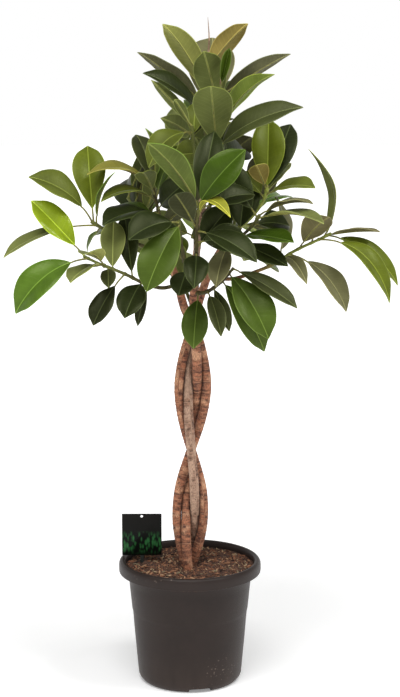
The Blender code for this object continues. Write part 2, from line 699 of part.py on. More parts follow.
def swings():
    """Every swing that a leaf may try, the smallest first."""
    every = [(depth, side) for depth in DEPTH_SWINGS for side in SIDE_SWINGS]
    return sorted(every, key=lambda swing: abs(swing[0]) + SIDE_COST * abs(swing[1]))


def settle(row, path, own, others):
    """The leaf at the first swing where its blade meets nothing and its stalk meets no other shoot."""
    foot, axis = place_on(path, row["at"])
    for swing in swings():
        trial = Leaf(row, foot, axis, swing)
        whole = trial.tree()
        if any(whole.overlap(other) for other in others):
            continue
        blade = trial.tree(blade_only=True)
        if any(blade.overlap(other) for other in own):
            continue
        return trial
    return None


def twig_path(points):
    return smooth_path([Vector(point) * CM for point in points], TWIG_STEP)


def twig_radii(path, bud):
    """Thinner from root to tip, and a bud that swells a little and ends in a point."""
    count = len(path) - (2 if bud else 0)
    thinning = (TWIG_TIP_RADIUS - TWIG_ROOT_RADIUS) / (count - 1)
    radii = [TWIG_ROOT_RADIUS + thinning * i for i in range(count)]
    return radii + ([BUD_RADIUS, BUD_POINT_RADIUS] if bud else [])


def rear_spread(height):
    """How far aside a rear leaf reaches at a height: the front ones make the plant's outline."""
    for (low, near), (high, far) in zip(REAR_SPREAD, REAR_SPREAD[1:]):
        if height < high:
            return near + (far - near) * (height - low) / (high - low)
    return far


def rear_shoot(stem, height, compass, rise, reach, count, draw):
    """A row for a shoot behind the plant: its leaves turn round the twig by the golden angle."""
    root = min(stem, key=lambda point: abs(point.z - height * CM))
    flat = Vector((math.cos(math.radians(compass)), math.sin(math.radians(compass)), 0.0))
    ahead = (flat * math.cos(math.radians(rise)) + Vector(UP) * math.sin(math.radians(rise))) * reach
    lift = Vector(UP) * REAR_TWIG_LIFT * reach
    twig = [root / CM + ahead * share + lift * share**2 for share in REAR_TWIG_SHARES]
    axis = (twig[-1] - twig[-2]).normalized()
    side = axis.orthogonal().normalized()
    leaves = []
    for i in range(count):
        share = i / (count - 1)
        lean = REAR_LEAF_LEAN[0] + (REAR_LEAF_LEAN[1] - REAR_LEAF_LEAN[0]) * share
        turn = GOLDEN_TURN * i + compass + draw.uniform(-REAR_LEAF_TURN, REAR_LEAF_TURN)
        spread = Quaternion(axis, math.radians(turn)) @ side
        way = axis * math.cos(math.radians(lean)) + spread * math.sin(math.radians(lean))
        at = REAR_LEAFLESS + (LAST_LEAF - REAR_LEAFLESS) * share
        foot, _ = place_on(twig, at)
        tip = foot + way * draw.uniform(*REAR_LEAF_LENGTH)
        tip.z = max(tip.z - REAR_LEAF_SAG, REAR_SPREAD[0][0])
        reach_aside = rear_spread(tip.z)
        tip.x = min(max(tip.x, REAR_MIDDLE - reach_aside), REAR_MIDDLE + reach_aside)
        wide = draw.uniform(*REAR_LEAF_WIDTH)
        leaves.append(leaf(at, tuple(tip), wide, droop=draw.uniform(*REAR_LEAF_DROOP)))
    return {"twig": [tuple(point) for point in twig], "bud": None, "leaves": leaves}


def leaf_object(place, name, home):
    points, faces = place.shape(LEAF_MIDRIB)
    mesh = bpy.data.meshes.new(name)
    mesh.from_pydata(points, [], faces)
    work = bmesh.new()
    work.from_mesh(mesh)
    bmesh.ops.recalc_face_normals(work, faces=work.faces)
    work.to_mesh(mesh)
    work.free()
    return new_object(name, mesh, home)


def make_shoot(name, path, radii, places, stem_cutter, home, material):
    """A twig with its leaves fused on, cut back a gap short of the stem that carries it."""
    shoot = tube(name, path, radii, TWIG_RESOLUTION, home, material)
    blades = new_collection(name + "_leaves")
    for i, place in enumerate(places):
        leaf_object(place, f"{name}_leaf_{i + 1}", blades)
    boolean(shoot, "UNION", blades, "MANIFOLD")
    boolean(shoot, "DIFFERENCE", stem_cutter, "MANIFOLD")
    mesh = evaluated_mesh(shoot)
    keep_largest_body(mesh)
    shoot.modifiers.clear()
    shoot.data = mesh
    for blade in list(blades.objects):
        bpy.data.objects.remove(blade)
    bpy.data.collections.remove(blades)
    return shoot


def mesh_tree(obj):
    points = [obj.matrix_world @ vert.co for vert in obj.data.vertices]
    return BVHTree.FromPolygons(points, [tuple(face.vertices) for face in obj.data.polygons])


def main():
    clear_scene()
    home = new_collection("potted_rubber_plant")
    cutters = new_collection("cutters", hidden=True)
    materials = {name: new_material(name) for name in COLOURS}

    make_pot(home, cutters, materials["pot"])
    soil = make_soil(home, materials["soil"])
    label_shape("plant_label", 0.0, home, materials["label"])
    slot = as_cutter(label_shape("label_slot", GAP, cutters))
    boolean(soil, "DIFFERENCE", slot)

    stems = {}
    stem_cutters = {}
    obstacles = []
    for name, (strand, branch) in STEMS.items():
        path = stem_path(strand, branch)
        radii = stem_radii(path)
        stems[name] = path
        obstacles.append(mesh_tree(tube(name, path, radii, STEM_SIDES_RESOLUTION, home, materials["bark"])))
        end = (path[-1] - path[-2]).normalized() * GAP
        longer = [path[0] - Vector(UP) * GAP, *path[1:-1], path[-1] + end]
        wider = [radius + GAP for radius in radii]
        cutter = tube(name + "_hole", longer, wider, STEM_SIDES_RESOLUTION, cutters)
        stem_cutters[name] = as_cutter(cutter)
        boolean(soil, "DIFFERENCE", cutter)

    rows = dict(SHOOTS)
    draw = random.Random(REAR_SEED)
    for name, (stem, height, compass, rise, reach, count) in REAR_SHOOTS.items():
        rows[name] = {"stem": stem, **rear_shoot(stems[stem], height, compass, rise, reach, count, draw)}

    paths = {}
    twigs = {}
    for name, row in rows.items():
        path = twig_path(row["twig"])
        if row["bud"]:
            bud = Vector(row["bud"]) * CM
            path += [path[-1].lerp(bud, BUD_SWELL), bud]
        radii = twig_radii(path, row["bud"])
        paths[name] = path, radii
        twig = tube(name + "_twig", path, radii, TWIG_RESOLUTION, cutters)
        twigs[name] = mesh_tree(twig)
        bpy.data.objects.remove(twig)

    placed = {name: [] for name in rows}
    left_off = []
    for name, row in rows.items():
        path = twig_path(row["twig"])
        for i, leaf_row in enumerate(row["leaves"]):
            own = [twigs[name]] + [place.tree() for place in placed[name]]
            others = obstacles + [tree for other, tree in twigs.items() if other != name]
            others += [place.tree() for other in rows if other != name for place in placed[other]]
            place = settle(leaf_row, path, own, others)
            if place is None:
                left_off.append(f"{name} {i + 1}")
            else:
                placed[name].append(place)
    for name, (path, radii) in paths.items():
        cutter = stem_cutters[rows[name]["stem"]]
        make_shoot(name, path, radii, placed[name], cutter, home, materials["leaves"])

    count = sum(len(places) for places in placed.values())
    print(f"{count} leaves placed; left off: {', '.join(left_off) or 'none'}")


main()
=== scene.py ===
# %% [markdown]
# # A potted rubber plant
# The real plant is a young rubber fig (a houseplant with thick, glossy leaves), sold as a standard: four rooted stems
# braided by hand, a round crown, and a plain nursery pot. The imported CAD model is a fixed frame: it says where every
# piece stands. This lesson models the finer pieces over it and gives each surface its finish.

# %% Load the frame
import json
import math
import random

import bmesh
import bpy
import numpy as np
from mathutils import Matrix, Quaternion, Vector
from mathutils.kdtree import KDTree

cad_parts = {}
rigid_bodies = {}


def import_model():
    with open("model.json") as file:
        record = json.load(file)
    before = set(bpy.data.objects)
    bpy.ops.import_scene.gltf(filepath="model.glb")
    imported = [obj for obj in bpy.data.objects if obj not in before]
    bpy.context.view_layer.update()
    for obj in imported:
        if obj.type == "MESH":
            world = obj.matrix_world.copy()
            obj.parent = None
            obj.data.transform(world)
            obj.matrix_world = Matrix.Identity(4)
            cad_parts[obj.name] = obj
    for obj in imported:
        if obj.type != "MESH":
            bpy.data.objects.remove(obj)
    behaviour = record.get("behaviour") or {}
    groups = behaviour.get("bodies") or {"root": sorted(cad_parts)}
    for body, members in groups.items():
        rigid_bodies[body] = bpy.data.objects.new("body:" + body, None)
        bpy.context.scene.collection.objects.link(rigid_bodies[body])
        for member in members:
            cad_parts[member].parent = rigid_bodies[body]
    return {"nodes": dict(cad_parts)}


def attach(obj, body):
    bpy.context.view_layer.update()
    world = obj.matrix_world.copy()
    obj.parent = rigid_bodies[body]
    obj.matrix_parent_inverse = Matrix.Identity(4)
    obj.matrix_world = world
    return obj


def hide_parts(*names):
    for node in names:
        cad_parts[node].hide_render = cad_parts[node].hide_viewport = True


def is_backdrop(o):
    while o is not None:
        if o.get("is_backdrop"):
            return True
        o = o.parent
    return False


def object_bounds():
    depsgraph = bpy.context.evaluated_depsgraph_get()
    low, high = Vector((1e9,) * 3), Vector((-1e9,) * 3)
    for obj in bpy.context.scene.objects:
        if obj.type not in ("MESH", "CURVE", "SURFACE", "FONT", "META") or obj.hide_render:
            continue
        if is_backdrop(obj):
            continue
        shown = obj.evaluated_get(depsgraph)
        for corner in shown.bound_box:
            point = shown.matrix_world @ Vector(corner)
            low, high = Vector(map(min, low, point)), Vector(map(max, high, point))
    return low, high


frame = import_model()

cad_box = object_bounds()
print(len(frame["nodes"]), "CAD nodes;", "size in mm:", [round(1000 * side) for side in cad_box[1] - cad_box[0]])

# %% [markdown]
# ## Working by hand, in code
# An operator acts on whatever is selected, just as a menu entry does. So each step first makes one piece the active
# one, and edit mode gets a small helper that picks vertices, edges or faces by where they are.

# %% Selecting
CM = 0.01  # the tables below are in centimetres
MM = 0.001


def only(*pieces):
    """Makes these pieces the only ones selected, the first of them active."""
    bpy.ops.object.select_all(action="DESELECT")
    for piece in pieces:
        piece.select_set(True)
    bpy.context.view_layer.objects.active = pieces[0]


def pick(test, kind="VERT"):
    """In edit mode, selects the vertices, edges or faces that pass a test on their middle."""
    bpy.ops.mesh.select_mode(type=kind)
    bpy.ops.mesh.select_all(action="DESELECT")
    mesh = bpy.context.object.data
    work = bmesh.from_edit_mesh(mesh)
    for part in {"VERT": work.verts, "EDGE": work.edges, "FACE": work.faces}[kind]:
        corners = [part] if kind == "VERT" else part.verts
        middle = sum((corner.co for corner in corners), Vector()) / len(corners)
        if test(middle, part):
            part.select_set(True)
    bmesh.update_edit_mesh(mesh)


def named(name):
    """Names the object that an operator has just made, and its mesh."""
    made = bpy.context.object
    made.name = made.data.name = name
    return made


def settle_object(piece):
    """Puts a piece's place into its mesh, so that its object sits at the origin, unturned and unscaled."""
    only(piece)
    bpy.ops.object.transform_apply(location=True, rotation=True, scale=True)


def apply_modifier(piece, kind, **settings):
    """Adds a modifier, sets it and applies it."""
    modifier = piece.modifiers.new(kind.lower(), kind)
    for name, value in settings.items():
        setattr(modifier, name, value)
    only(piece)
    bpy.ops.object.modifier_apply(modifier=modifier.name)


# %% [markdown]
# ## The camera
# The photograph was taken from about three metres, a little above the crown's middle, with a long lens. These numbers
# come from the two ellipses of the pot's rim and from the plant's height, and they give the picture's own frame.

# %% Camera
PHOTO_WIDTH, PHOTO_HEIGHT = 400, 697
FOCAL_PIXELS = 1842
AXIS_COLUMN = 189.5  # the pixel column of the plant's axis
CAMERA_PLACE = Vector((0.0, -3.0, 1.131))
CAMERA_PITCH = math.radians(10.6)
SENSOR = 36.0

bpy.ops.object.camera_add(location=CAMERA_PLACE)
camera = bpy.context.object
camera.name = "photo_camera"
camera.data.sensor_width = SENSOR
camera.data.lens = SENSOR * FOCAL_PIXELS / PHOTO_HEIGHT
yaw = math.atan((PHOTO_WIDTH / 2 - AXIS_COLUMN) / FOCAL_PIXELS)
camera.rotation_euler = (math.pi / 2 - CAMERA_PITCH, 0.0, -yaw)
bpy.context.scene.camera = camera
print("lens", round(camera.data.lens, 1), "mm")

# %% [markdown]
# ## Colours and nodes
# Colours are picked as on a screen, in sRGB, and a shader wants them linear. One function turns them, and one adds a
# node with its settings, values and links, so that a material reads as a short list. A Mix node set to colours takes
# its share at input 0 and the two colours at 6 and 7, and gives the mixed one at its output 2.

# %% Colour and node helpers
IN_COLOUR = {"data_type": "RGBA"}


def linear(code):
    """The linear colour of an sRGB hex code."""
    shares = [int(code[i : i + 2], 16) / 255 for i in (1, 3, 5)]
    return tuple(c / 12.92 if c <= 0.04045 else ((c + 0.055) / 1.055) ** 2.4 for c in shares) + (1.0,)


def add_node(tree, kind, inputs=None, **settings):
    """Adds a node; each input is given a value, or the socket that feeds it."""
    node = tree.nodes.new("ShaderNode" + kind)
    for name, value in settings.items():
        setattr(node, name, value)
    for name, value in (inputs or {}).items():
        if isinstance(value, bpy.types.NodeSocket):
            tree.links.new(value, node.inputs[name])
        else:
            node.inputs[name].default_value = value
    return node


def new_finish(name, **constants):
    """A material with its shader; what is the same all over is set on the shader itself."""
    finish = bpy.data.materials.new(name)
    finish.use_nodes = True
    shader = finish.node_tree.nodes["Principled BSDF"]
    for socket, value in constants.items():
        shader.inputs[socket.replace("_", " ")].default_value = value
    return finish, finish.node_tree, shader


# %% [markdown]
# ## Floor and light
# A pale floor and soft light. The surround is white all round at eye level, so the plant stands against white from
# any side, and dim above, so that the light on the leaves comes from softboxes: a big one above and in front, which
# draws the broad sheen on their upper sides, and two smaller ones from the right. That leaves the inner crown dark.

# %% Studio
FLOOR_RADIUS = 12.0
GLOW_NEAR, GLOW_FAR = 0.3, 2.0  # metres from the pot, between which the floor turns white
GLOW_AT_POT = 0.24
HORIZON = (0.24, 0.5)  # how far up the white of the surround reaches, and where the dim ceiling starts
CEILING = 0.25
LAMPS_AIM = Vector((0.02, 0.0, 0.75))

bpy.ops.mesh.primitive_circle_add(vertices=64, radius=FLOOR_RADIUS, fill_type="NGON")
floor = named("floor")
paper, tree, shader = new_finish("white_paper", Roughness=0.9)
fibre = add_node(tree, "TexNoise", {"Scale": 900.0, "Detail": 2.0})
shade = add_node(tree, "MapRange", {"Value": fibre.outputs["Fac"], "To Min": 0.9, "To Max": 0.94})
tree.links.new(shade.outputs[0], shader.inputs["Base Color"])
away = add_node(tree, "VectorMath", {0: add_node(tree, "TexCoord").outputs["Object"]}, operation="LENGTH")
glow_range = {"From Min": GLOW_NEAR, "From Max": GLOW_FAR, "To Min": GLOW_AT_POT, "To Max": 1.0}
glow = add_node(tree, "MapRange", {"Value": away.outputs["Value"], **glow_range})
shader.inputs["Emission Color"].default_value = (1.0, 1.0, 1.0, 1.0)
tree.links.new(glow.outputs[0], shader.inputs["Emission Strength"])
floor.data.materials.append(paper)
floor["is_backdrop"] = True

surround = bpy.data.worlds.new("surround")
bpy.context.scene.world = surround
surround.use_nodes = True
air = surround.node_tree
upwards = add_node(air, "SeparateXYZ", {"Vector": add_node(air, "TexCoord").outputs["Generated"]}).outputs["Z"]
ceiling_range = {"From Min": HORIZON[0], "From Max": HORIZON[1], "To Min": 1.0, "To Max": CEILING}
ceiling = add_node(air, "MapRange", {"Value": upwards, **ceiling_range})
air.links.new(ceiling.outputs[0], air.nodes["Background"].inputs["Color"])
bpy.context.scene.view_settings.view_transform = "Standard"

SOFTBOXES = {  # place, size in metres, power in watts
    "overhead": ((-0.5, -1.5, 3.1), 1.8, 70.0),
    "right": ((1.5, -0.9, 2.6), 0.6, 16.0),
    "glint": ((1.07, -0.4, 2.28), 0.3, 8.0),
}
for name, (place, size, power) in SOFTBOXES.items():
    bpy.ops.object.light_add(type="AREA", location=place)
    lamp = bpy.context.object
    lamp.name = name
    lamp.data.size = size
    lamp.data.energy = power
    lamp.rotation_euler = (LAMPS_AIM - lamp.location).to_track_quat("-Z", "Y").to_euler()
print("lights:", ", ".join(SOFTBOXES))

# %% [markdown]
# ## The pot
# Nursery pots are injection moulded from recycled polypropylene: thin, matte, nearly black, with a turned-down lip to
# lift them by. A turned thing grows ring by ring: a circle is extruded upwards and each new ring is resized.

# %% The pot's measures
MOUTH_RADIUS = 0.109
POT_STEPS = 128
UNDERSIDE_INSET = 0.03  # a ring that keeps the long underside faces short
DRAINS = 4
DRAIN_TURN = math.radians(-78)
DRAIN_SIZE = (0.024, 0.038, 0.014)
FOOT_RADIUS = 0.0795
OUTSIDE = (  # radius and height of each ring
    (0.0785, 0.0), (0.0808, 0.0008), (0.0833, 0.0030), (0.0858, 0.0062), (0.0874, 0.0105),
    (0.0884, 0.020), (0.0937, 0.080), (0.0966, 0.1170), (0.0969, 0.1190), (0.0974, 0.1210), (0.0981, 0.1240),
    (0.1022, 0.165), (0.1038, 0.184), (0.1118, 0.1925), (0.1170, 0.1935),
    (0.1176, 0.1890), (0.1185, 0.1880), (0.1194, 0.1885), (0.1199, 0.1910), (0.1200, 0.1985),
    (0.1197, 0.2022), (0.1186, 0.2050), (0.1168, 0.2070), (0.1146, 0.2079), (0.1124, 0.2078), (0.1104, 0.2068),
    (0.1092, 0.2050), (0.1090, 0.1990), (0.1085, 0.1910),
)  # fmt: skip
INSIDE = ((0.1013, 0.184), (0.0942, 0.121), (0.0912, 0.080), (0.0852, 0.009), (0.0770, 0.0026))

# %% Turn the pot
first_radius, first_height = OUTSIDE[0]
bpy.ops.mesh.primitive_circle_add(vertices=POT_STEPS, radius=first_radius)
pot = named("nursery_pot")
bpy.ops.object.mode_set(mode="EDIT")
bpy.ops.mesh.edge_face_add()
bpy.ops.mesh.inset(thickness=UNDERSIDE_INSET)
bpy.ops.mesh.select_all(action="DESELECT")
pick(lambda middle, edge: edge.is_boundary, "EDGE")
radius, height = first_radius, first_height
for wide, high in OUTSIDE[1:] + INSIDE:
    bpy.ops.mesh.extrude_region_move(TRANSFORM_OT_translate={"value": (0.0, 0.0, high - height)})
    share = wide / radius
    bpy.ops.transform.resize(value=(share, share, 1.0), center_override=(0.0, 0.0, high))
    radius, height = wide, high
bpy.ops.mesh.edge_face_add()
bpy.ops.mesh.select_all(action="SELECT")
bpy.ops.mesh.normals_make_consistent(inside=False)
bpy.ops.object.mode_set(mode="OBJECT")
print("pot:", len(pot.data.polygons), "faces")

# %% Cut the drains in its foot
for i in range(DRAINS):
    turn = DRAIN_TURN + 2 * math.pi * i / DRAINS
    bpy.ops.mesh.primitive_cube_add(
        size=1.0, scale=DRAIN_SIZE, rotation=(0.0, 0.0, turn),
        location=(FOOT_RADIUS * math.cos(turn), FOOT_RADIUS * math.sin(turn), 0.0),
    )  # fmt: skip
    drain = named("drain")
    apply_modifier(pot, "BOOLEAN", operation="DIFFERENCE", object=drain, solver="EXACT")
    bpy.data.objects.remove(drain)
only(pot)
bpy.ops.object.shade_smooth_by_angle(angle=math.radians(40))
print("pot with drains:", len(pot.data.polygons), "faces")

# %% [markdown]
# ### Moulded polypropylene
# Black-brown, dull, a little chalky where hands and potting soil have rubbed it. The mould leaves faint rings some
# 6 mm apart, and watering leaves dust near the foot, in runs about 15 mm wide. Grain of about 0.7 mm keeps the
# sheen broken. Polypropylene starts from an IOR of 1.49; 1.3 matches the weak sheen of this dusty wall.

# %% Pot finish
plastic, tree, shader = new_finish("moulded_polypropylene", IOR=1.3)
place = add_node(tree, "TexCoord").outputs["Object"]
height_of = add_node(tree, "SeparateXYZ", {"Vector": place}).outputs["Z"]
cloud = add_node(tree, "TexNoise", {"Vector": place, "Scale": 22.0, "Detail": 5.0, "Roughness": 0.65})
tone = add_node(tree, "Mix", {0: cloud.outputs["Fac"], 6: linear("#211916"), 7: linear("#302622")}, **IN_COLOUR)
streak_place = add_node(tree, "Mapping", {"Vector": place, "Scale": (60.0, 60.0, 7.0)})
streaks = add_node(tree, "TexNoise", {"Vector": streak_place.outputs[0], "Scale": 1.0, "Detail": 3.0})
low = add_node(tree, "MapRange", {"Value": height_of, "From Min": 0.07, "From Max": 0.0, "To Max": 0.2})
dust_amount = add_node(tree, "Math", {0: streaks.outputs["Fac"], 1: low.outputs[0]}, operation="MULTIPLY")
dusty = add_node(tree, "Mix", {0: dust_amount.outputs[0], 6: tone.outputs[2], 7: linear("#6f5d52")}, **IN_COLOUR)
speck = add_node(tree, "TexNoise", {"Vector": place, "Scale": 260.0, "Detail": 1.0})
patch = add_node(tree, "TexNoise", {"Vector": place, "Scale": 9.0, "Detail": 1.0})
speck_place = add_node(tree, "Math", {0: speck.outputs["Fac"], 1: patch.outputs["Fac"]}, operation="MULTIPLY")
speck_mask = add_node(tree, "MapRange", {"Value": speck_place.outputs[0], "From Min": 0.44, "From Max": 0.5})
marked = add_node(tree, "Mix", {0: speck_mask.outputs[0], 6: dusty.outputs[2], 7: linear("#665950")}, **IN_COLOUR)
tree.links.new(marked.outputs[2], shader.inputs["Base Color"])
gloss = add_node(tree, "MapRange", {"Value": cloud.outputs["Fac"], "To Min": 0.36, "To Max": 0.5})
tree.links.new(gloss.outputs[0], shader.inputs["Roughness"])
grain = add_node(tree, "TexNoise", {"Vector": place, "Scale": 1500.0, "Detail": 2.0})
ring_place = add_node(tree, "CombineXYZ", {"Z": height_of})
rings = add_node(tree, "TexNoise", {"Vector": ring_place.outputs[0], "Scale": 160.0, "Detail": 2.0})
relief = add_node(tree, "Math", {0: rings.outputs["Fac"], 1: grain.outputs["Fac"]}, operation="ADD")
bump = add_node(tree, "Bump", {"Height": relief.outputs[0], "Strength": 0.25, "Distance": 0.0006})
tree.links.new(bump.outputs[0], shader.inputs["Normal"])
pot.data.materials.append(plastic)
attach(pot, "root")
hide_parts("pot")

# %% [markdown]
# ## The soil
# The mix is composted bark and peat: a dark, crumbly bed with loose chips and fibres on it, some pale where the bark
# split. The bed is a disc of rings, raised by two sizes of noise. The chips are one shard, copied and scattered.

# %% The bed
SOIL_LEVEL = 0.1965
SOIL_RADIUS = MOUTH_RADIUS - 0.0006
BED_DEPTH = 0.012
BED_RINGS = 34
BED_MIDDLE = 1.5  # the middle disc's radius, in widths of a ring
BED_NOISE = (("lumps", 0.016, 0.005), ("crumbs", 0.005, 0.0032))  # noise size and rise, in metres

bed_foot = (0, 0, SOIL_LEVEL - BED_DEPTH)
bpy.ops.mesh.primitive_circle_add(vertices=96, radius=SOIL_RADIUS, fill_type="NGON", location=bed_foot)
bed = named("bark_soil")
settle_object(bed)
bpy.ops.object.mode_set(mode="EDIT")
bpy.ops.mesh.select_all(action="SELECT")
bpy.ops.mesh.extrude_region_move(TRANSFORM_OT_translate={"value": (0.0, 0.0, BED_DEPTH)})
for _ in range(BED_RINGS):
    bpy.ops.mesh.inset(thickness=SOIL_RADIUS / (BED_RINGS + BED_MIDDLE))
bpy.ops.mesh.poke()
bpy.ops.object.mode_set(mode="OBJECT")
top = bed.vertex_groups.new(name="top")
inner = [v.index for v in bed.data.vertices if v.co.z > SOIL_LEVEL - MM and v.co.xy.length < SOIL_RADIUS - MM]
top.add(inner, 1.0, "REPLACE")
for name, size, rise in BED_NOISE:
    noise = bpy.data.textures.new(name, "CLOUDS")
    noise.noise_scale = size
    noise.noise_depth = 2
    lift = {"strength": rise, "direction": "Z", "vertex_group": "top"}
    apply_modifier(bed, "DISPLACE", texture=noise, texture_coords="GLOBAL", **lift)
only(bed)
bpy.ops.object.shade_smooth()
print("bed of soil:", len(bed.data.polygons), "faces")

# %% One shard of bark
SHARD_FACE = 0.4  # a corner past this lies on an outer face of the cube
SHARD_SIDE = 0.1

bpy.ops.mesh.primitive_cube_add(size=1.0)
shard = named("shard")
bpy.ops.object.mode_set(mode="EDIT")
bpy.ops.mesh.subdivide(number_cuts=1)
pick(lambda middle, vert: abs(middle.x) > SHARD_FACE)
bpy.ops.transform.resize(value=(1.0, 0.55, 0.5))
pick(lambda middle, vert: middle.z > SHARD_FACE)
bpy.ops.transform.resize(value=(0.8, 0.7, 1.0))
pick(lambda middle, vert: middle.x > SHARD_FACE and middle.y > SHARD_SIDE)
bpy.ops.transform.translate(value=(0.25, 0.1, -0.1))
pick(lambda middle, vert: middle.x < -SHARD_FACE and middle.y < -SHARD_SIDE)
bpy.ops.transform.translate(value=(-0.2, 0.15, 0.15))
bpy.ops.object.mode_set(mode="OBJECT")
print("shard:", len(shard.data.polygons), "faces")


# %% Scatter the shards
SHARDS = 1500
SHARD_SEED = 11
SHARD_LENGTH = (2.0, 9.0, 3.2)  # mm: shortest, longest, most common
SHARD_WIDTH = (0.25, 0.6)  # of its length
SHARD_THICKNESS = (0.15, 0.35)
SHARD_LIFT = (-0.0004, 0.0012)
SHARD_TILT = 0.5
SHARD_MARGIN = 0.004
SHARD_TONES = ("#3a241a", "#5f3d2b", "#7d5138", "#93684c", "#a88463", "#bfa27e", "#7f7259", "#2a1c15")
SHARD_WEIGHTS = (10, 13, 16, 12, 7, 3, 5, 8)


def colour_of(mesh, name, colour):
    """Gives every point of a mesh one colour, as an attribute that a material can read."""
    layer = mesh.attributes.get(name) or mesh.attributes.new(name, "FLOAT_COLOR", "POINT")
    layer.data.foreach_set("color", list(colour) * len(mesh.vertices))


draw = random.Random(SHARD_SEED)
bed_points = KDTree(len(inner))
for i in inner:
    bed_points.insert(bed.data.vertices[i].co, i)
bed_points.balance()
shards = []
for _ in range(SHARDS):
    reach = (SOIL_RADIUS - SHARD_MARGIN) * math.sqrt(draw.random())
    turn = draw.uniform(0, 2 * math.pi)
    place = Vector((reach * math.cos(turn), reach * math.sin(turn), SOIL_LEVEL))
    place.z = bed_points.find(place)[0].z + draw.uniform(*SHARD_LIFT)
    copy = bpy.data.objects.new("shard", shard.data.copy())
    bpy.context.scene.collection.objects.link(copy)
    length = draw.triangular(*SHARD_LENGTH) * MM
    copy.scale = (length, length * draw.uniform(*SHARD_WIDTH), length * draw.uniform(*SHARD_THICKNESS))
    tilt_x, tilt_y = (draw.uniform(-SHARD_TILT, SHARD_TILT) for _ in range(2))
    copy.rotation_euler = (tilt_x, tilt_y, draw.uniform(0, 2 * math.pi))
    copy.location = place
    colour_of(copy.data, "chip_colour", linear(draw.choices(SHARD_TONES, SHARD_WEIGHTS)[0]))
    shards.append(copy)
bpy.data.objects.remove(shard)
only(*shards)
bpy.ops.object.join()
chips = named("bark_chips")
settle_object(chips)
print("chips:", len(chips.data.polygons), "faces")

# %% [markdown]
# ### Bark and peat
# Peat is almost black-brown and very rough, in crumbs of 2 to 3 mm. Bark chips are red-brown, lighter along the split
# grain, which is drawn 1.5 mm wide so that it shows. Both are dry, so nothing shines.

# %% Soil finishes
peat, tree, shader = new_finish("peat", Roughness=0.95)
place = add_node(tree, "TexCoord").outputs["Object"]
crumb = add_node(tree, "TexNoise", {"Vector": place, "Scale": 420.0, "Detail": 6.0, "Roughness": 0.7})
colours = add_node(tree, "ValToRGB", {"Fac": crumb.outputs["Fac"]})
ramp = colours.color_ramp
ramp.elements[0].position, ramp.elements[0].color = 0.38, linear("#23150f")
ramp.elements[1].position, ramp.elements[1].color = 0.68, linear("#875c42")
ramp.elements.new(0.52).color = linear("#4b3022")
tree.links.new(colours.outputs["Color"], shader.inputs["Base Color"])
bump = add_node(tree, "Bump", {"Height": crumb.outputs["Fac"], "Strength": 0.9, "Distance": 0.0012})
tree.links.new(bump.outputs[0], shader.inputs["Normal"])
bed.data.materials.append(peat)

bark_chip, tree, shader = new_finish("bark_chip", Roughness=0.9)
place = add_node(tree, "TexCoord").outputs["Object"]
grain = add_node(tree, "TexNoise", {"Vector": place, "Scale": 700.0, "Detail": 4.0, "Roughness": 0.7})
chip_tone = add_node(tree, "Attribute", attribute_name="chip_colour")
lit_range = {"From Min": 0.3, "From Max": 0.7, "To Min": 0.6, "To Max": 1.35}
lit = add_node(tree, "MapRange", {"Value": grain.outputs["Fac"], **lit_range})
tinted = add_node(tree, "VectorMath", {0: chip_tone.outputs["Color"], "Scale": lit.outputs[0]}, operation="SCALE")
tree.links.new(tinted.outputs[0], shader.inputs["Base Color"])
bump = add_node(tree, "Bump", {"Height": grain.outputs["Fac"], "Strength": 0.7, "Distance": 0.0006})
tree.links.new(bump.outputs[0], shader.inputs["Normal"])
chips.data.materials.append(bark_chip)
for piece in (bed, chips):
    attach(piece, "root")
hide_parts("soil")

# %% [markdown]
# ## The plant label
# A card of printed plastic, nearly square, on a pointed stake, pushed into the soil. It has a dark ground and a band
# of soft green mottling. The card is a plane with barely rounded corners, thickened, with a punched hole near its top
# edge. The stake is a second plane, drawn to a point and thickened in the same way.

# %% Label
LABEL_WIDE = 0.0672
LABEL_HIGH = 0.0727
LABEL_THICK = 0.0010
LABEL_CORNER = 0.001
LABEL_FOOT = Vector((-0.0816, 0.018, 0.160))
LABEL_CARD_LOW = 0.2087
STAKE_WIDTH = 0.006
STAKE_POINT = 0.012
STAKE_POINT_SHARE = 0.12  # the point's width, of the stake's
STAKE_OVERLAP = 0.012  # how far the stake goes up behind the card
LABEL_EDGE = 0.0002
HOLE_RADIUS = 0.0022
HOLE_DOWN = 0.0045
PUNCH_LENGTH = 0.01

card_middle = Vector((LABEL_FOOT.x, LABEL_FOOT.y, LABEL_CARD_LOW + LABEL_HIGH / 2))
bpy.ops.mesh.primitive_plane_add(size=1.0, location=card_middle, rotation=(math.pi / 2, 0.0, 0.0))
label = named("printed_card")
label.scale = (LABEL_WIDE, LABEL_HIGH, 1.0)
settle_object(label)
bpy.ops.object.mode_set(mode="EDIT")
bpy.ops.mesh.select_mode(type="VERT")
bpy.ops.mesh.select_all(action="SELECT")
bpy.ops.mesh.bevel(offset=LABEL_CORNER, segments=8, affect="VERTICES")
bpy.ops.object.mode_set(mode="OBJECT")

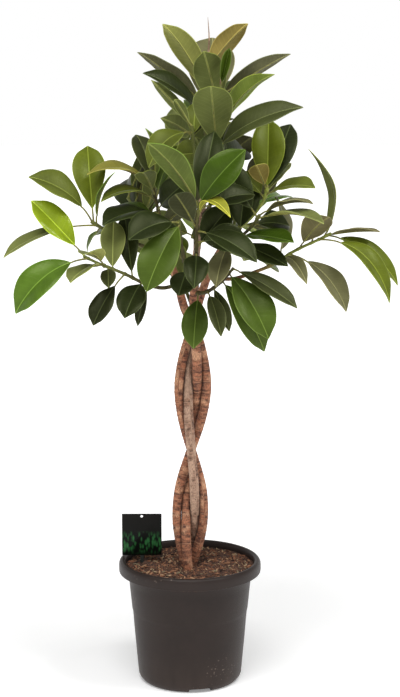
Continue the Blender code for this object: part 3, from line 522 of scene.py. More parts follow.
stake_length = LABEL_CARD_LOW + STAKE_OVERLAP - LABEL_FOOT.z
stake_middle = LABEL_FOOT + Vector((0.0, LABEL_THICK, stake_length / 2))
bpy.ops.mesh.primitive_plane_add(size=1.0, rotation=(math.pi / 2, 0.0, 0.0), location=stake_middle)
stake = named("stake")
stake.scale = (STAKE_WIDTH, stake_length, 1.0)
settle_object(stake)
bpy.ops.object.mode_set(mode="EDIT")
pick(lambda middle, edge: middle.z < LABEL_FOOT.z + MM, "EDGE")
bpy.ops.transform.translate(value=(0.0, 0.0, STAKE_POINT))
bpy.ops.mesh.extrude_region_move(TRANSFORM_OT_translate={"value": (0.0, 0.0, -STAKE_POINT)})
bpy.ops.transform.resize(value=(STAKE_POINT_SHARE, 1.0, 1.0))
bpy.ops.object.mode_set(mode="OBJECT")
for piece in (label, stake):
    apply_modifier(piece, "SOLIDIFY", thickness=LABEL_THICK, offset=0.0)
    apply_modifier(piece, "BEVEL", width=LABEL_EDGE, segments=2, limit_method="ANGLE")

hole = (LABEL_FOOT.x, LABEL_FOOT.y, LABEL_CARD_LOW + LABEL_HIGH - HOLE_DOWN)
bpy.ops.mesh.primitive_cylinder_add(
    vertices=32, radius=HOLE_RADIUS, depth=PUNCH_LENGTH, rotation=(math.pi / 2, 0.0, 0.0), location=hole
)
punch = named("punch")
apply_modifier(label, "BOOLEAN", operation="DIFFERENCE", object=punch, solver="EXACT")
bpy.data.objects.remove(punch)
for piece in (label, stake):
    only(piece)
    bpy.ops.object.shade_smooth_by_angle(angle=math.radians(30))
print("label card:", len(label.data.polygons), "faces")

# %% [markdown]
# ### Printed card
# Offset print under a clear film: near black at the top, a band of dim greens across the lower half, as on many plant
# cards. The mottling is made of soft cells about 4 mm wide and 11 mm high, and draws nothing in particular. Such a film
# starts from an IOR of 1.5; 1.22 matches this card, which has hardly any sheen.

# %% Label finish
BAND_MIDDLE = 0.022  # above the card's lower edge
BAND_OUTER, BAND_INNER = 0.021, 0.009  # from its middle, where the band fades out

print_film, tree, shader = new_finish("printed_card_film", Roughness=0.4, IOR=1.22)
place = add_node(tree, "TexCoord").outputs["Object"]
height_of = add_node(tree, "SeparateXYZ", {"Vector": place}).outputs["Z"]
upright = add_node(tree, "Mapping", {"Vector": place, "Scale": (1.5, 1.0, 0.6)})
leafy = add_node(tree, "TexVoronoi", {"Vector": upright.outputs[0], "Scale": 150.0}, feature="F1")
patchy = add_node(tree, "TexNoise", {"Vector": place, "Scale": 85.0, "Detail": 4.0})
both = add_node(tree, "Math", {0: leafy.outputs["Distance"], 1: patchy.outputs["Fac"]}, operation="MULTIPLY")
green = add_node(tree, "ValToRGB", {"Fac": both.outputs[0]})
green.color_ramp.elements[0].position, green.color_ramp.elements[0].color = 0.1, linear("#2a6033")
green.color_ramp.elements[1].position, green.color_ramp.elements[1].color = 0.28, linear("#040805")
middle_band = add_node(tree, "Math", {0: height_of, 1: LABEL_CARD_LOW + BAND_MIDDLE}, operation="SUBTRACT")
from_middle = add_node(tree, "Math", {0: middle_band.outputs[0]}, operation="ABSOLUTE")
band_range = {"From Min": BAND_OUTER, "From Max": BAND_INNER}
band = add_node(tree, "MapRange", {"Value": from_middle.outputs[0], **band_range})
card_range = {"From Min": LABEL_CARD_LOW, "From Max": LABEL_CARD_LOW + LABEL_HIGH}
ground = add_node(tree, "MapRange", {"Value": height_of, **card_range})
dark = add_node(tree, "Mix", {0: ground.outputs[0], 6: linear("#060b07"), 7: linear("#0e0b08")}, **IN_COLOUR)
printed = add_node(tree, "Mix", {0: band.outputs[0], 6: dark.outputs[2], 7: green.outputs["Color"]}, **IN_COLOUR)
tree.links.new(printed.outputs[2], shader.inputs["Base Color"])
film = add_node(tree, "TexNoise", {"Vector": place, "Scale": 60.0})
bump = add_node(tree, "Bump", {"Height": film.outputs["Fac"], "Strength": 0.1, "Distance": 0.0004})
tree.links.new(bump.outputs[0], shader.inputs["Normal"])
label.data.materials.append(print_film)

stake_plastic, tree, shader = new_finish("stake_plastic", Roughness=0.45)
place = add_node(tree, "TexCoord").outputs["Object"]
cloud = add_node(tree, "TexNoise", {"Vector": place, "Scale": 120.0, "Detail": 3.0})
tone = add_node(tree, "Mix", {0: cloud.outputs["Fac"], 6: linear("#0c120d"), 7: linear("#1c231c")}, **IN_COLOUR)
tree.links.new(tone.outputs[2], shader.inputs["Base Color"])
stake.data.materials.append(stake_plastic)
for piece in (label, stake):
    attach(piece, "root")
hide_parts("plant_label")

# %% [markdown]
# ## The braided stems
# Growers plant four rooted cuttings in one pot and braid them while they are soft; the wood then hardens in that
# shape. Their middle lines follow one formula up to the last waist, where they part. Each stem is modelled straight,
# ring by ring, and then bent with a Curve modifier.

# %% The stems' lines
STEM_RADIUS = 0.0072
STEM_TOP_RADIUS = 0.0045
STEM_FOOT = 0.165
STEM_STEP = 0.0145
BRAID_PITCH = 0.215  # from one waist to the next
BRAID_WAIST = 0.397
BRAID_WIDE = 0.0227
BRAID_NARROW = 0.0075
BRAID_END = 0.604
BRAID_LEAN = 0.020
BRAID_UPRIGHT = 0.25
STEMS = {
    "stem_front": ("middle", ((0.6, -3.4, 64.5), (0.7, -4.9, 68.5), (1.0, -6.2, 71.5))),
    "stem_right": ("left", ((1.5, 0.9, 64.5), (3.0, 0.6, 69.0), (4.8, 0.0, 73.0), (6.4, -0.6, 76.0))),
    "stem_left": ("right", ((-0.9, -0.9, 64.0), (-1.9, -0.9, 68.0), (-3.4, -0.6, 72.0), (-4.6, -0.5, 75.5))),
    "stem_back": ("dark", ((0.9, 2.9, 65.5), (1.0, 2.9, 71.0), (1.7, 2.4, 76.5), (2.3, 1.8, 81.0))),
}


def smooth_path(points, step):
    """Points on a smooth curve through the given ones, about a step apart."""
    path = []
    ends = [points[0] * 2 - points[1], *points, points[-1] * 2 - points[-2]]
    for before, start, end, after in zip(ends, ends[1:], ends[2:], ends[3:]):
        parts = max(1, round((end - start).length / step))
        for i in range(parts):
            t = i / parts
            bend = 2 * before - 5 * start + 4 * end - after
            twist = 3 * start - before - 3 * end + after
            path.append(start + 0.5 * t * ((end - before) + t * (bend + t * twist)))
    path.append(points[-1].copy())
    return path


def place_on(path, share):
    """The point a share of the way along a path, and the path's direction there."""
    lengths = [(b - a).length for a, b in zip(path, path[1:])]
    left = share * sum(lengths)
    for start, end, length in zip(path, path[1:], lengths):
        if left <= length:
            break
        left -= length
    return start.lerp(end, min(left / length, 1.0)), (end - start).normalized()


def braid_point(strand, height):
    """The middle of a strand of the braid: two strands swing in front and behind, two left and right."""
    turn = math.pi * (height - BRAID_WAIST) / BRAID_PITCH
    wide = BRAID_WIDE * math.sin(turn), BRAID_WIDE * math.cos(turn)
    narrow = BRAID_NARROW * math.sin(turn), BRAID_NARROW * math.cos(turn)
    across, back = {
        "left": (-wide[0], -narrow[1]),
        "right": (wide[0], narrow[1]),
        "middle": (narrow[0], wide[1]),
        "dark": (-narrow[0], -wide[1]),
    }[strand]
    return Vector((across + BRAID_LEAN * (height - BRAID_UPRIGHT), back, height))


def stem_path(strand, branch):
    """A stem's middle line: its strand of the braid, then its own branch above it."""
    count = round((BRAID_END - STEM_FOOT) / STEM_STEP)
    rise = (BRAID_END - STEM_FOOT) / count
    braid = [braid_point(strand, STEM_FOOT + rise * i) for i in range(count + 1)]
    upper = smooth_path([braid[-1]] + [Vector(point) * CM for point in branch], 2 * STEM_STEP)
    return braid + upper[1:]


def length_of(path):
    """A path's length."""
    return sum((b - a).length for a, b in zip(path, path[1:]))


stem_lines = {name: stem_path(*row) for name, row in STEMS.items()}
print("stems:", ", ".join(f"{name} {length_of(line):.3f} m" for name, line in stem_lines.items()))


# %% A straight bar, bent along a line
MOST_CUTS = 60  # at a time


def straight_bar(name, sides, rings):
    """A bar of unit radius and unit length along X, cut into about so many rings."""
    lying = {"location": (0.5, 0, 0), "rotation": (0, math.pi / 2, 0)}
    bpy.ops.mesh.primitive_cylinder_add(vertices=sides, radius=1.0, depth=1.0, **lying)
    bar = named(name)
    settle_object(bar)
    bpy.ops.object.mode_set(mode="EDIT")
    while rings > 1:
        parts = min(rings, MOST_CUTS)
        pick(lambda middle, edge: abs(edge.verts[0].co.x - edge.verts[1].co.x) > 1e-6, "EDGE")
        bpy.ops.mesh.subdivide(number_cuts=parts - 1)
        rings = round(rings / parts)
    bpy.ops.object.mode_set(mode="OBJECT")
    return bar


def points_of(mesh):
    """A mesh's points as an array."""
    places = np.empty(len(mesh.vertices) * 3, np.float32)
    mesh.vertices.foreach_get("co", places)
    return places.reshape(-1, 3).astype(float)


def set_points(mesh, places):
    """Moves a mesh's points to new places."""
    mesh.vertices.foreach_set("co", np.asarray(places, np.float32).ravel())
    mesh.update()


def set_map(mesh, name, across, along):
    """Gives the mesh a map in real lengths, so that a finish can follow the piece."""
    layer = mesh.uv_layers.get(name) or mesh.uv_layers.new(name=name)
    corners = np.empty(len(mesh.loops), np.int32)
    mesh.loops.foreach_get("vertex_index", corners)
    layer.data.foreach_set("uv", np.stack([across[corners], along[corners]], 1).astype(np.float32).ravel())


def bend_along(bar, line):
    """Bends a bar that lies along X so that it follows a line."""
    guide = bpy.data.curves.new("guide", "CURVE")
    guide.dimensions = "3D"
    spline = guide.splines.new("POLY")
    spline.points.add(len(line) - 1)
    for point, place in zip(spline.points, line):
        point.co = (*place, 1.0)
    holder = bpy.data.objects.new("guide", guide)
    bpy.context.scene.collection.objects.link(holder)
    apply_modifier(bar, "CURVE", object=holder, deform_axis="POS_X")
    bpy.data.objects.remove(holder)


# %% A round bar of any radius
def round_bar(name, line, sides, rings, radius_at):
    """A round bar along a line. radius_at gives its radius, from the length along it and the turn round it."""
    length = length_of(line)
    bar = straight_bar(name, sides, rings)
    places = points_of(bar.data)
    along = places[:, 0] * length
    turn = np.arctan2(places[:, 2], places[:, 1])
    radius = radius_at(along, turn)
    set_points(bar.data, np.stack([along, np.cos(turn) * radius, np.sin(turn) * radius], 1))
    set_map(bar.data, "strip", turn * radius.mean(), along)
    bend_along(bar, line)
    return bar


# %% Bark on a straight stem, then the bend
STEM_SWELL = 1.07  # the bark is a little fuller than the plain solid, and closes the braid
STEM_SEED = 5
STEM_SIDES = 20
STEM_RING = 0.0022
STEM_FINE_STEP = 0.005
OUT_OF_ROUND = ((0.035, 2, 40), (0.02, 3, -90))  # share of the radius, lobes, radians they turn in a metre
SCAR_SPACING = (0.006, 0.016)
SCAR_RISE = 0.0006
SCAR_WIDTH = 0.0011
SCAR_TILT = 0.0012
SCAR_STRENGTH = (0.3, 1.0)
stem_draw = random.Random(STEM_SEED)
for name, line in stem_lines.items():
    fine = smooth_path(line, STEM_FINE_STEP)
    length = length_of(fine)
    braided = length_of([point for point in fine if point.z < BRAID_END])
    scars = []
    scar = 0.0
    while scar < length:
        scar += stem_draw.uniform(*SCAR_SPACING)
        tilt = stem_draw.uniform(-SCAR_TILT, SCAR_TILT)
        lean = stem_draw.uniform(0, 2 * math.pi)
        scars.append((scar, tilt, lean, stem_draw.uniform(*SCAR_STRENGTH)))
    phase = stem_draw.uniform(0, 2 * math.pi)

    def bark_radius(along, turn):
        thinning = np.clip((along - braided) / (length - braided), 0, 1)
        radius = (STEM_RADIUS + (STEM_TOP_RADIUS - STEM_RADIUS) * thinning) * STEM_SWELL
        for scar, tilt, lean, strength in scars:
            past = (along - scar - tilt * np.cos(turn - lean)) / SCAR_WIDTH
            radius = radius + SCAR_RISE * strength * np.exp(-(past**2))
        fuller = sum(share * np.sin(lobes * turn + along * twist + phase) for share, lobes, twist in OUT_OF_ROUND)
        return radius * (1 + fuller)

    stem = round_bar(name + "_bark", fine, STEM_SIDES, round(length / STEM_RING), bark_radius)
    other_lines = [path for other, path in stem_lines.items() if other != name]
    others = np.array([point for path in other_lines for point in smooth_path(path, 2 * STEM_FINE_STEP)])
    clear = np.min([np.linalg.norm(points_of(stem.data) - point, axis=1) for point in others], axis=0)
    stem.data.attributes.new("clear_of_others", "FLOAT", "POINT").data.foreach_set("value", clear)
    only(stem)
    bpy.ops.object.shade_smooth()
    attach(stem, "root")
    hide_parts(name)
    print(name, len(stem.data.polygons), "faces,", len(scars), "scars")

# %% [markdown]
# ### Bark
# Young fig bark is thin, dry and rust brown, with grey-tan skin left on it in patches, dark and pale rings where
# leaves fell, and small raised pores. The map runs along the stem in metres, so rings stay rings where the braid bends.
# A scar comes every centimetre or so, the fine rings are 3 to 5 mm apart, and the pores are 5 mm apart. Where two
# stems touch, shade is painted into the bark's colour: it is darker the nearer it is to another stem's middle line.

# %% Bark finish
# Painted shade where stems touch: darkest at the first of these distances, gone at the second.
PAINTED_SHADE_REACH = (1.05, 1.8)  # in radii of a stem, from another stem's middle line
PAINTED_SHADE_DARKEST = 0.25


def bark_finish(name, dark, warm, skin, skin_share):
    """Ringed, cracked bark, with shade painted in where stems touch; skin_share is how much of the pale skin is left on
    it.
    """
    bark, tree, shader = new_finish(name, Roughness=0.82)
    strip = add_node(tree, "UVMap", uv_map="strip").outputs["UV"]
    ring_place = add_node(tree, "Mapping", {"Vector": strip, "Scale": (75.0, 190.0, 1.0)})
    rings = add_node(tree, "TexNoise", {"Vector": ring_place.outputs[0], "Scale": 1.0, "Detail": 3.0, "Roughness": 0.6})
    crack_place = add_node(tree, "Mapping", {"Vector": strip, "Scale": (700.0, 260.0, 1.0)})
    cracks = add_node(tree, "TexNoise", {"Vector": crack_place.outputs[0], "Scale": 1.0, "Detail": 4.0})
    patch = add_node(tree, "TexNoise", {"Vector": strip, "Scale": 38.0, "Detail": 3.0})
    tones = add_node(tree, "ValToRGB", {"Fac": rings.outputs["Fac"]})
    ramp = tones.color_ramp
    ramp.elements[0].position, ramp.elements[0].color = 0.38, linear(dark)
    ramp.elements[1].position, ramp.elements[1].color = 0.62, linear(warm)
    skin_range = {"From Min": 0.62 - skin_share, "From Max": 0.72 - skin_share}
    skin_mask = add_node(tree, "MapRange", {"Value": patch.outputs["Fac"], **skin_range})
    skinned = add_node(tree, "Mix", {0: skin_mask.outputs[0], 6: tones.outputs[0], 7: linear(skin)}, **IN_COLOUR)
    lit_range = {"From Min": 0.3, "From Max": 0.7, "To Min": 0.5, "To Max": 1.4}
    lit = add_node(tree, "MapRange", {"Value": cracks.outputs["Fac"], **lit_range})
    lined = add_node(tree, "VectorMath", {0: skinned.outputs[2], "Scale": lit.outputs[0]}, operation="SCALE")
    pore_place = add_node(tree, "Mapping", {"Vector": strip, "Scale": (230.0, 170.0, 1.0)})
    pores = add_node(tree, "TexVoronoi", {"Vector": pore_place.outputs[0], "Scale": 1.0})
    pore_mask = add_node(tree, "MapRange", {"Value": pores.outputs["Distance"], "From Min": 0.2, "From Max": 0.1})
    spotted = add_node(tree, "Mix", {0: pore_mask.outputs[0], 6: lined.outputs[0], 7: linear(dark)}, **IN_COLOUR)
    pale_place = add_node(tree, "Mapping", {"Vector": strip, "Scale": (14.0, 330.0, 1.0)})
    pale_rings = add_node(tree, "TexNoise", {"Vector": pale_place.outputs[0], "Scale": 1.0, "Detail": 2.0})
    pale_range = {"From Min": 0.57, "From Max": 0.66, "To Max": 0.6}
    pale_mask = add_node(tree, "MapRange", {"Value": pale_rings.outputs["Fac"], **pale_range})
    ringed = add_node(tree, "Mix", {0: pale_mask.outputs[0], 6: spotted.outputs[2], 7: linear(skin)}, **IN_COLOUR)
    # Painted shade: the bark's colour is darkened the nearer it lies to another stem, where the strands touch.
    clear = add_node(tree, "Attribute", attribute_name="clear_of_others").outputs["Fac"]
    painted_shade_range = {"From Min": STEM_RADIUS * PAINTED_SHADE_REACH[0], "From Max": STEM_RADIUS * PAINTED_SHADE_REACH[1], "To Min": PAINTED_SHADE_DARKEST}
    painted_shade = add_node(tree, "MapRange", {"Value": clear, **painted_shade_range})
    shaded = add_node(tree, "VectorMath", {0: ringed.outputs[2], "Scale": painted_shade.outputs[0]}, operation="SCALE")
    tree.links.new(shaded.outputs[0], shader.inputs["Base Color"])
    relief = add_node(tree, "Math", {0: rings.outputs["Fac"], 1: cracks.outputs["Fac"]}, operation="ADD")
    bump = add_node(tree, "Bump", {"Height": relief.outputs[0], "Strength": 0.7, "Distance": 0.0009})
    tree.links.new(bump.outputs[0], shader.inputs["Normal"])
    return bark


rust_bark = bark_finish("rust_bark", "#4e2e22", "#a4694a", "#b58666", 0.10)
grey_bark = bark_finish("grey_skinned_bark", "#553a2c", "#9a745d", "#ab8b75", 0.2)
for name in STEMS:
    piece = bpy.data.objects[name + "_bark"]
    piece.data.materials.clear()
    piece.data.materials.append(grey_bark if name == "stem_back" else rust_bark)

# %% [markdown]
# ## Where every leaf hangs
# A row gives a leaf's place on its twig, the point its tip reaches, its width, where its upper side looks, and its
# look: old leaves are deep green, young ones fresh or bronze, and the undersides are dull and paler. The rows and the
# measures are those of the CAD model.

# %% The leaf rows
TWIG_ROOT_RADIUS = 0.0034
TWIG_TIP_RADIUS = 0.0021
TWIG_STEP = 0.028
LEAF_MIDRIB = 0.0017
LEAF_STATIONS = (0.08, 0.22, 0.40, 0.60, 0.78, 0.92)
LEAF_STALK = 0.16  # of the leaf's length
BLADE_FULL = 1.12  # over 1, a blade is widest past its middle
BLADE_ROUND = 0.70
FOLD = 14  # degrees, from flat
DROOP = 0.10  # the arch's height, of the leaf's length
FRONT = (0.0, -1.0, 0.4)
BACK = (0.0, 1.0, 0.3)
UP = (0.0, 0.0, 1.0)


def leaf(at, tip, wide=5.6, faces=None, look="green", droop=DROOP, fold=FOLD, stalk=LEAF_STALK, full=BLADE_FULL):
    """One leaf's row."""
    shape = {"droop": droop, "fold": fold, "stalk": stalk, "full": full}
    return {"at": at, "tip": tip, "wide": wide, "faces": faces, "look": look, **shape}


SHOOTS = {
    "shoot_top_back": {
        "stem": "stem_back",
        "twig": ((2.3, 1.8, 80.9), (2.5, 2.6, 88.0), (2.8, 3.4, 96.0), (3.0, 3.5, 104.0)),
        "bud": (3.0, 3.5, 111.0),
        "leaves": (
            leaf(0.76, (-4.3, 0.0, 110.0), 4.9, (0.5, 1.0, 0.3), "pale", stalk=0.08),
            leaf(0.93, (9.5, 2.0, 110.0), 4.0, (-0.2, 1.0, 0.3), "bronze", droop=0.12, fold=25, stalk=0.1, full=0.85),
            leaf(0.60, (4.0, 10.0, 108.4), 8.2, FRONT, "dusk"),
            leaf(0.68, (-8.4, 1.0, 105.5), 4.0, (0.4, 0.8, 0.8), "grey", droop=0.04, full=0.85),
            leaf(0.56, (-7.4, -3.0, 102.3), 5.6, (0.5, -0.6, 1.0), "deep"),
            leaf(0.62, (10.0, 13.0, 100.0), 5.8),
            leaf(0.34, (-2.5, -2.0, 89.0), 4.6, FRONT, "olive"),
            leaf(0.50, (1.0, 15.0, 96.5), 5.8),
        ),
    },
    "shoot_top_front": {
        "stem": "stem_back",
        "twig": ((2.0, 2.1, 78.5), (3.6, -0.4, 81.5), (4.3, -2.4, 87.5), (4.8, -3.4, 95.0), (5.0, -3.5, 100.5)),
        "bud": (5.0, -4.0, 105.0),
        "leaves": (
            leaf(0.78, (2.3, -6.5, 105.5), 5.4, BACK, "olive", droop=0.18),
            leaf(0.97, (6.4, -3.0, 106.2), 2.6, FRONT, "glossy", fold=55),
            leaf(0.54, (3.2, -10.5, 101.5), 6.6, BACK, "olive", stalk=0.1),
            leaf(0.62, (13.5, -5.0, 102.2), 6.0, (-0.6, 0.5, 0.6), "fresh", droop=0.14),
            leaf(0.92, (16.3, 1.0, 105.2), 4.6, (-0.4, 0.8, 0.9), "grey", droop=0.03, stalk=0.06, full=0.85),
            leaf(0.57, (18.0, -7.0, 97.1), 6.2, (-0.3, -0.7, 1.0), "grey", stalk=0.08, full=0.85),
            leaf(0.46, (9.0, 5.0, 89.5), 5.4, FRONT, "deep"),
        ),
    },
    "shoot_left_upper": {
        "stem": "stem_back",
        "twig": ((1.6, 2.5, 75.5), (0.9, -0.2, 79.5), (0.9, -2.2, 87.0), (0.4, -4.0, 94.0)),
        "bud": None,
        "leaves": (
            leaf(0.99, (-6.1, -4.0, 101.2), 2.3, BACK, "olive", fold=35, full=0.9),
            leaf(0.96, (-2.5, -6.0, 98.5), 2.0, BACK, "olive", fold=35),
            leaf(0.90, (-4.7, 2.0, 94.8), 3.6, BACK, "olive", full=0.9),
            leaf(0.94, (-6.5, -7.5, 87.5), 5.0, (-0.4, -0.8, 0.6), "olive", droop=0.26),
            leaf(0.80, (-5.5, 8.5, 86.5), 5.0, droop=0.04),
            leaf(0.88, (1.0, -1.0, 97.5), 3.0, FRONT, "olive"),
        ),
    },
    "shoot_right_upper": {
        "stem": "stem_right",
        "twig": ((6.35, -0.58, 75.9), (9.6, -2.2, 78.6), (11.8, -3.0, 81.5), (12.6, -3.0, 84.0)),
        "bud": None,
        "leaves": (
            leaf(0.97, (12.9, 1.5, 94.8), 5.6, FRONT, "fresh", stalk=0.05),
            leaf(0.94, (16.7, 4.5, 93.7), 4.8, FRONT, "deep", stalk=0.06),
            leaf(0.84, (8.2, -1.0, 86.4), 4.4, (0.0, -0.4, 1.0), "olive", droop=0.02),
            leaf(0.88, (16.8, 4.0, 87.4), 2.4, UP, "pale", droop=0.04),
            leaf(0.86, (20.0, -8.0, 84.4), 5.0, (0.0, -0.4, 1.0), "olive", droop=0.11),
            leaf(0.95, (10.5, -7.5, 88.0), 3.4, BACK, "bronze"),
        ),
    },
    "shoot_right_mid": {
        "stem": "stem_right",
        "twig": ((4.75, 0.02, 72.9), (7.4, -3.4, 75.3), (9.8, -6.0, 77.8), (11.2, -7.2, 80.0)),
        "bud": None,
        "leaves": (
            leaf(0.98, (19.5, -11.0, 82.2), 4.6, UP, "dusk", droop=0.11),
            leaf(0.92, (21.0, -14.0, 79.4), 5.2, UP, "pale", droop=0.1),
            leaf(0.25, (4.2, -10.0, 68.8), 4.0, (-0.3, -1.0, 0.2), "dusk"),
            leaf(0.58, (16.3, -14.0, 76.5), 4.4, (0.0, -0.6, 1.0), "bright", droop=0.03, stalk=0.06),
            leaf(0.42, (15.6, -11.0, 72.3), 3.6, (0.2, -1.0, 0.6), "deep", droop=0.02),
            leaf(0.80, (16.2, -4.0, 77.8), 5.0, (0.0, -0.6, 0.8), "deep"),
            leaf(0.94, (5.2, -2.5, 87.5), 5.0, FRONT, "deep"),
            leaf(0.50, (9.0, 3.0, 83.5), 5.6, FRONT, "deep"),
        ),
    },
    "shoot_right_outer": {
        "stem": "stem_right",
        "twig": (
            (2.95, 0.6, 68.8),
            (7.0, -1.2, 68.8),
            (11.0, -2.2, 70.2),
            (14.0, -2.6, 71.6),
            (17.0, -3.0, 73.6),
            (21.0, -3.0, 75.5),
            (23.0, -3.0, 76.5),
        ),
        "bud": None,
        "leaves": (
            leaf(0.74, (22.4, -6.5, 79.6), 5.0, (-0.3, 1.0, 0.3), "taupe"),
            leaf(0.99, (30.6, -6.5, 77.2), 4.4, (0.0, 0.1, 1.0), "taupe", droop=0.03, stalk=0.04),
            leaf(0.97, (33.7, -6.0, 68.4), 4.6, (0.3, -0.5, 1.0), "fresh", droop=0.14, stalk=0.14, full=0.92),
            leaf(0.90, (32.1, -9.0, 66.0), 4.4, (0.3, -0.6, 1.0), "fresh", droop=0.24, stalk=0.22, full=0.92),
            leaf(0.66, (25.2, -8.5, 64.5), 5.4, (0.4, -0.5, 0.8), "dusk", droop=0.16, stalk=0.24),
            leaf(0.58, (18.7, -10.0, 69.2), 2.6, (0.2, -0.8, 0.6), "dusk", droop=0.25),
            leaf(0.94, (19.1, -2.0, 90.0), 3.8, (-1.0, -0.3, 0.2), "pale", droop=-0.22, stalk=0.05, full=0.8),
            leaf(0.84, (23.0, 9.0, 76.0), 4.0, UP),
            leaf(0.56, (14.4, 9.0, 81.2), 4.4, look="dusk"),
            leaf(0.48, (12.0, 9.0, 70.5), 5.4),
        ),
    },
    "shoot_front_centre": {
        "stem": "stem_front",
        "twig": ((1.0, -6.15, 71.4), (1.1, -8.4, 75.5), (1.2, -10.0, 79.0), (1.6, -11.0, 82.5)),
        "bud": (2.5, -11.0, 85.0),
        "leaves": (
            leaf(0.99, (8.7, -9.5, 90.7), 5.6, (-0.3, -1.0, 0.4), "bright", stalk=0.04),
            leaf(0.92, (-6.5, -14.0, 92.0), 5.2, (0.5, 1.0, 0.4), "lush", stalk=0.1),
            leaf(0.72, (6.4, -15.0, 80.5), 3.0, (0.2, -0.4, 1.0), "yellow", droop=0.42),
            leaf(0.88, (9.5, -5.0, 83.0), 4.8, (0.0, -0.8, 1.0), "deep"),
            leaf(0.86, (4.0, -5.0, 93.2), 4.8, FRONT, "deep"),
            leaf(0.40, (9.0, -8.0, 76.5), 4.8, FRONT, "deep"),
            leaf(0.58, (10.5, -16.0, 73.6), 5.0, (0.1, -0.7, 1.0), "deep"),
            leaf(0.30, (6.5, -6.0, 81.0), 5.0, FRONT, "deep"),
            leaf(0.22, (0.7, -15.0, 69.3), 4.2, (0.1, -0.7, 1.0), "deep", droop=0.16),
            leaf(0.60, (-2.5, -13.5, 84.5), 4.4, BACK, "dark"),
        ),
    },
    "shoot_front_low": {
        "stem": "stem_front",
        "twig": ((0.65, -5.05, 68.8), (-0.7, -7.0, 72.0), (-1.4, -9.4, 76.5), (-1.6, -11.0, 79.5)),
        "bud": None,
        "leaves": (
            leaf(0.97, (-9.5, -15.0, 77.0), 6.2, (-0.2, -0.8, 1.0), "deep", droop=0.14),
            leaf(0.94, (-6.7, -17.5, 69.2), 6.4, (-0.2, -1.0, 0.5), "green", droop=0.12, stalk=0.04, full=1.3),
            leaf(0.36, (-6.5, -7.5, 79.0), 5.2, FRONT, "deep"),
            leaf(0.24, (-1.8, -9.5, 67.3), 4.2, FRONT, "deep"),
        ),
    },
    "shoot_left_mid": {
        "stem": "stem_left",
        "twig": ((-4.58, -0.5, 75.4), (-5.0, -1.0, 79.5), (-6.0, -1.5, 84.0)),
        "bud": None,
        "leaves": (
            leaf(0.94, (-8.8, 4.5, 92.0), 4.6, (0.5, -1.0, 0.4), "grey"),
            leaf(0.99, (-7.0, -3.0, 93.5), 3.4, (1.0, 0.2, 0.2), "lush", fold=35),
            leaf(0.90, (-16.5, -4.0, 86.2), 5.4, (0.0, -0.2, 1.0), "bronze", droop=0.2, stalk=0.1),
            leaf(0.82, (-8.0, -8.0, 88.4), 3.6, BACK, "olive"),
            leaf(0.72, (-14.2, -6.0, 82.0), 4.4, (0.0, -0.2, 1.0), "olive", droop=0.18),
            leaf(0.46, (-13.8, -10.0, 78.7), 5.6, (0.0, -0.3, 1.0), "deep"),
            leaf(0.72, (-1.5, 7.0, 89.5), 5.2),
            leaf(0.55, (0.0, -6.5, 85.5), 4.8, FRONT, "deep"),
            leaf(0.36, (-14.0, 5.0, 79.0), 5.4),
        ),
    },
    "shoot_left_outer": {
        "stem": "stem_left",
        "twig": (
            (-3.7, -0.58, 72.8),
            (-7.0, -1.3, 74.0),
            (-10.5, -2.2, 75.5),
            (-13.5, -3.0, 77.0),
            (-16.0, -3.0, 78.5),
        ),
        "bud": None,
        "leaves": (
            leaf(0.98, (-25.7, -6.0, 86.0), 6.4, (0.3, -0.6, 1.0), "olive", droop=0.14, stalk=0.24),
            leaf(0.96, (-16.7, 2.5, 90.3), 5.6, FRONT, "fresh", full=1.3),
            leaf(0.92, (-11.9, -6.5, 86.8), 2.4, (-1.0, 0.2, 0.4), "lush"),
            leaf(0.86, (-16.8, -0.5, 73.2), 1.6, (-0.8, -0.4, 0.4), "green"),
            leaf(0.90, (-29.8, -8.0, 73.3), 4.2, (0.0, -0.2, 1.0), "pale", droop=0.1, stalk=0.34),
            leaf(0.76, (-12.4, 9.0, 79.5), 4.4),
            leaf(0.60, (-11.5, 9.5, 72.5), 5.0),
        ),
    },
    "shoot_left_lower": {
        "stem": "stem_left",
        "twig": (
            (-1.85, -0.9, 67.8),
            (-4.6, -3.2, 67.6),
            (-7.5, -5.6, 68.8),
            (-10.5, -7.0, 70.5),
            (-14.5, -8.0, 72.3),
            (-17.0, -8.0, 73.5),
        ),
        "bud": None,
        "leaves": (
            leaf(0.98, (-25.3, -6.0, 82.2), 5.4, (0.5, -0.8, 0.6), "lime", droop=0.02, stalk=0.2),
            leaf(0.95, (-27.6, -12.5, 64.9), 6.2, (-0.4, -0.9, 0.6), "lush", droop=0.22, stalk=0.2),
            leaf(0.80, (-18.6, -16.0, 70.4), 4.8, (0.0, 0.2, 1.0), "pale"),
            leaf(0.80, (-16.5, -16.0, 74.8), 4.2, (0.2, 0.8, 0.6), "pale"),
            leaf(0.76, (-12.8, -12.5, 69.0), 2.6, (0.0, -1.0, 0.4), "grey"),
            leaf(0.60, (-15.3, -12.5, 63.0), 3.9, (-0.4, -1.0, 0.3), "dark", stalk=0.28, full=1.3),
            leaf(0.42, (-10.3, -12.5, 64.2), 4.8, (-0.2, -1.0, 0.3), "deep", stalk=0.08, full=1.3),
            leaf(0.34, (-8.4, -7.0, 61.9), 1.8, (-0.3, -1.0, 0.2), "dark"),
            leaf(0.72, (-12.3, -3.0, 78.6), 4.2, FRONT, "pale", stalk=0.04),
            leaf(0.52, (-10.5, 1.0, 78.5), 3.6, FRONT, "deep", stalk=0.08),
        ),
    },
    "shoot_right_low": {
        "stem": "stem_front",
        "twig": ((0.42, -4.3, 67.0), (2.6, -5.2, 67.2), (5.0, -6.6, 69.0), (7.0, -8.0, 71.5)),
        "bud": None,
        "leaves": (
            leaf(0.86, (12.5, -13.5, 61.0), 6.4, (0.4, -1.0, 0.5), "green", stalk=0.06, full=1.25),
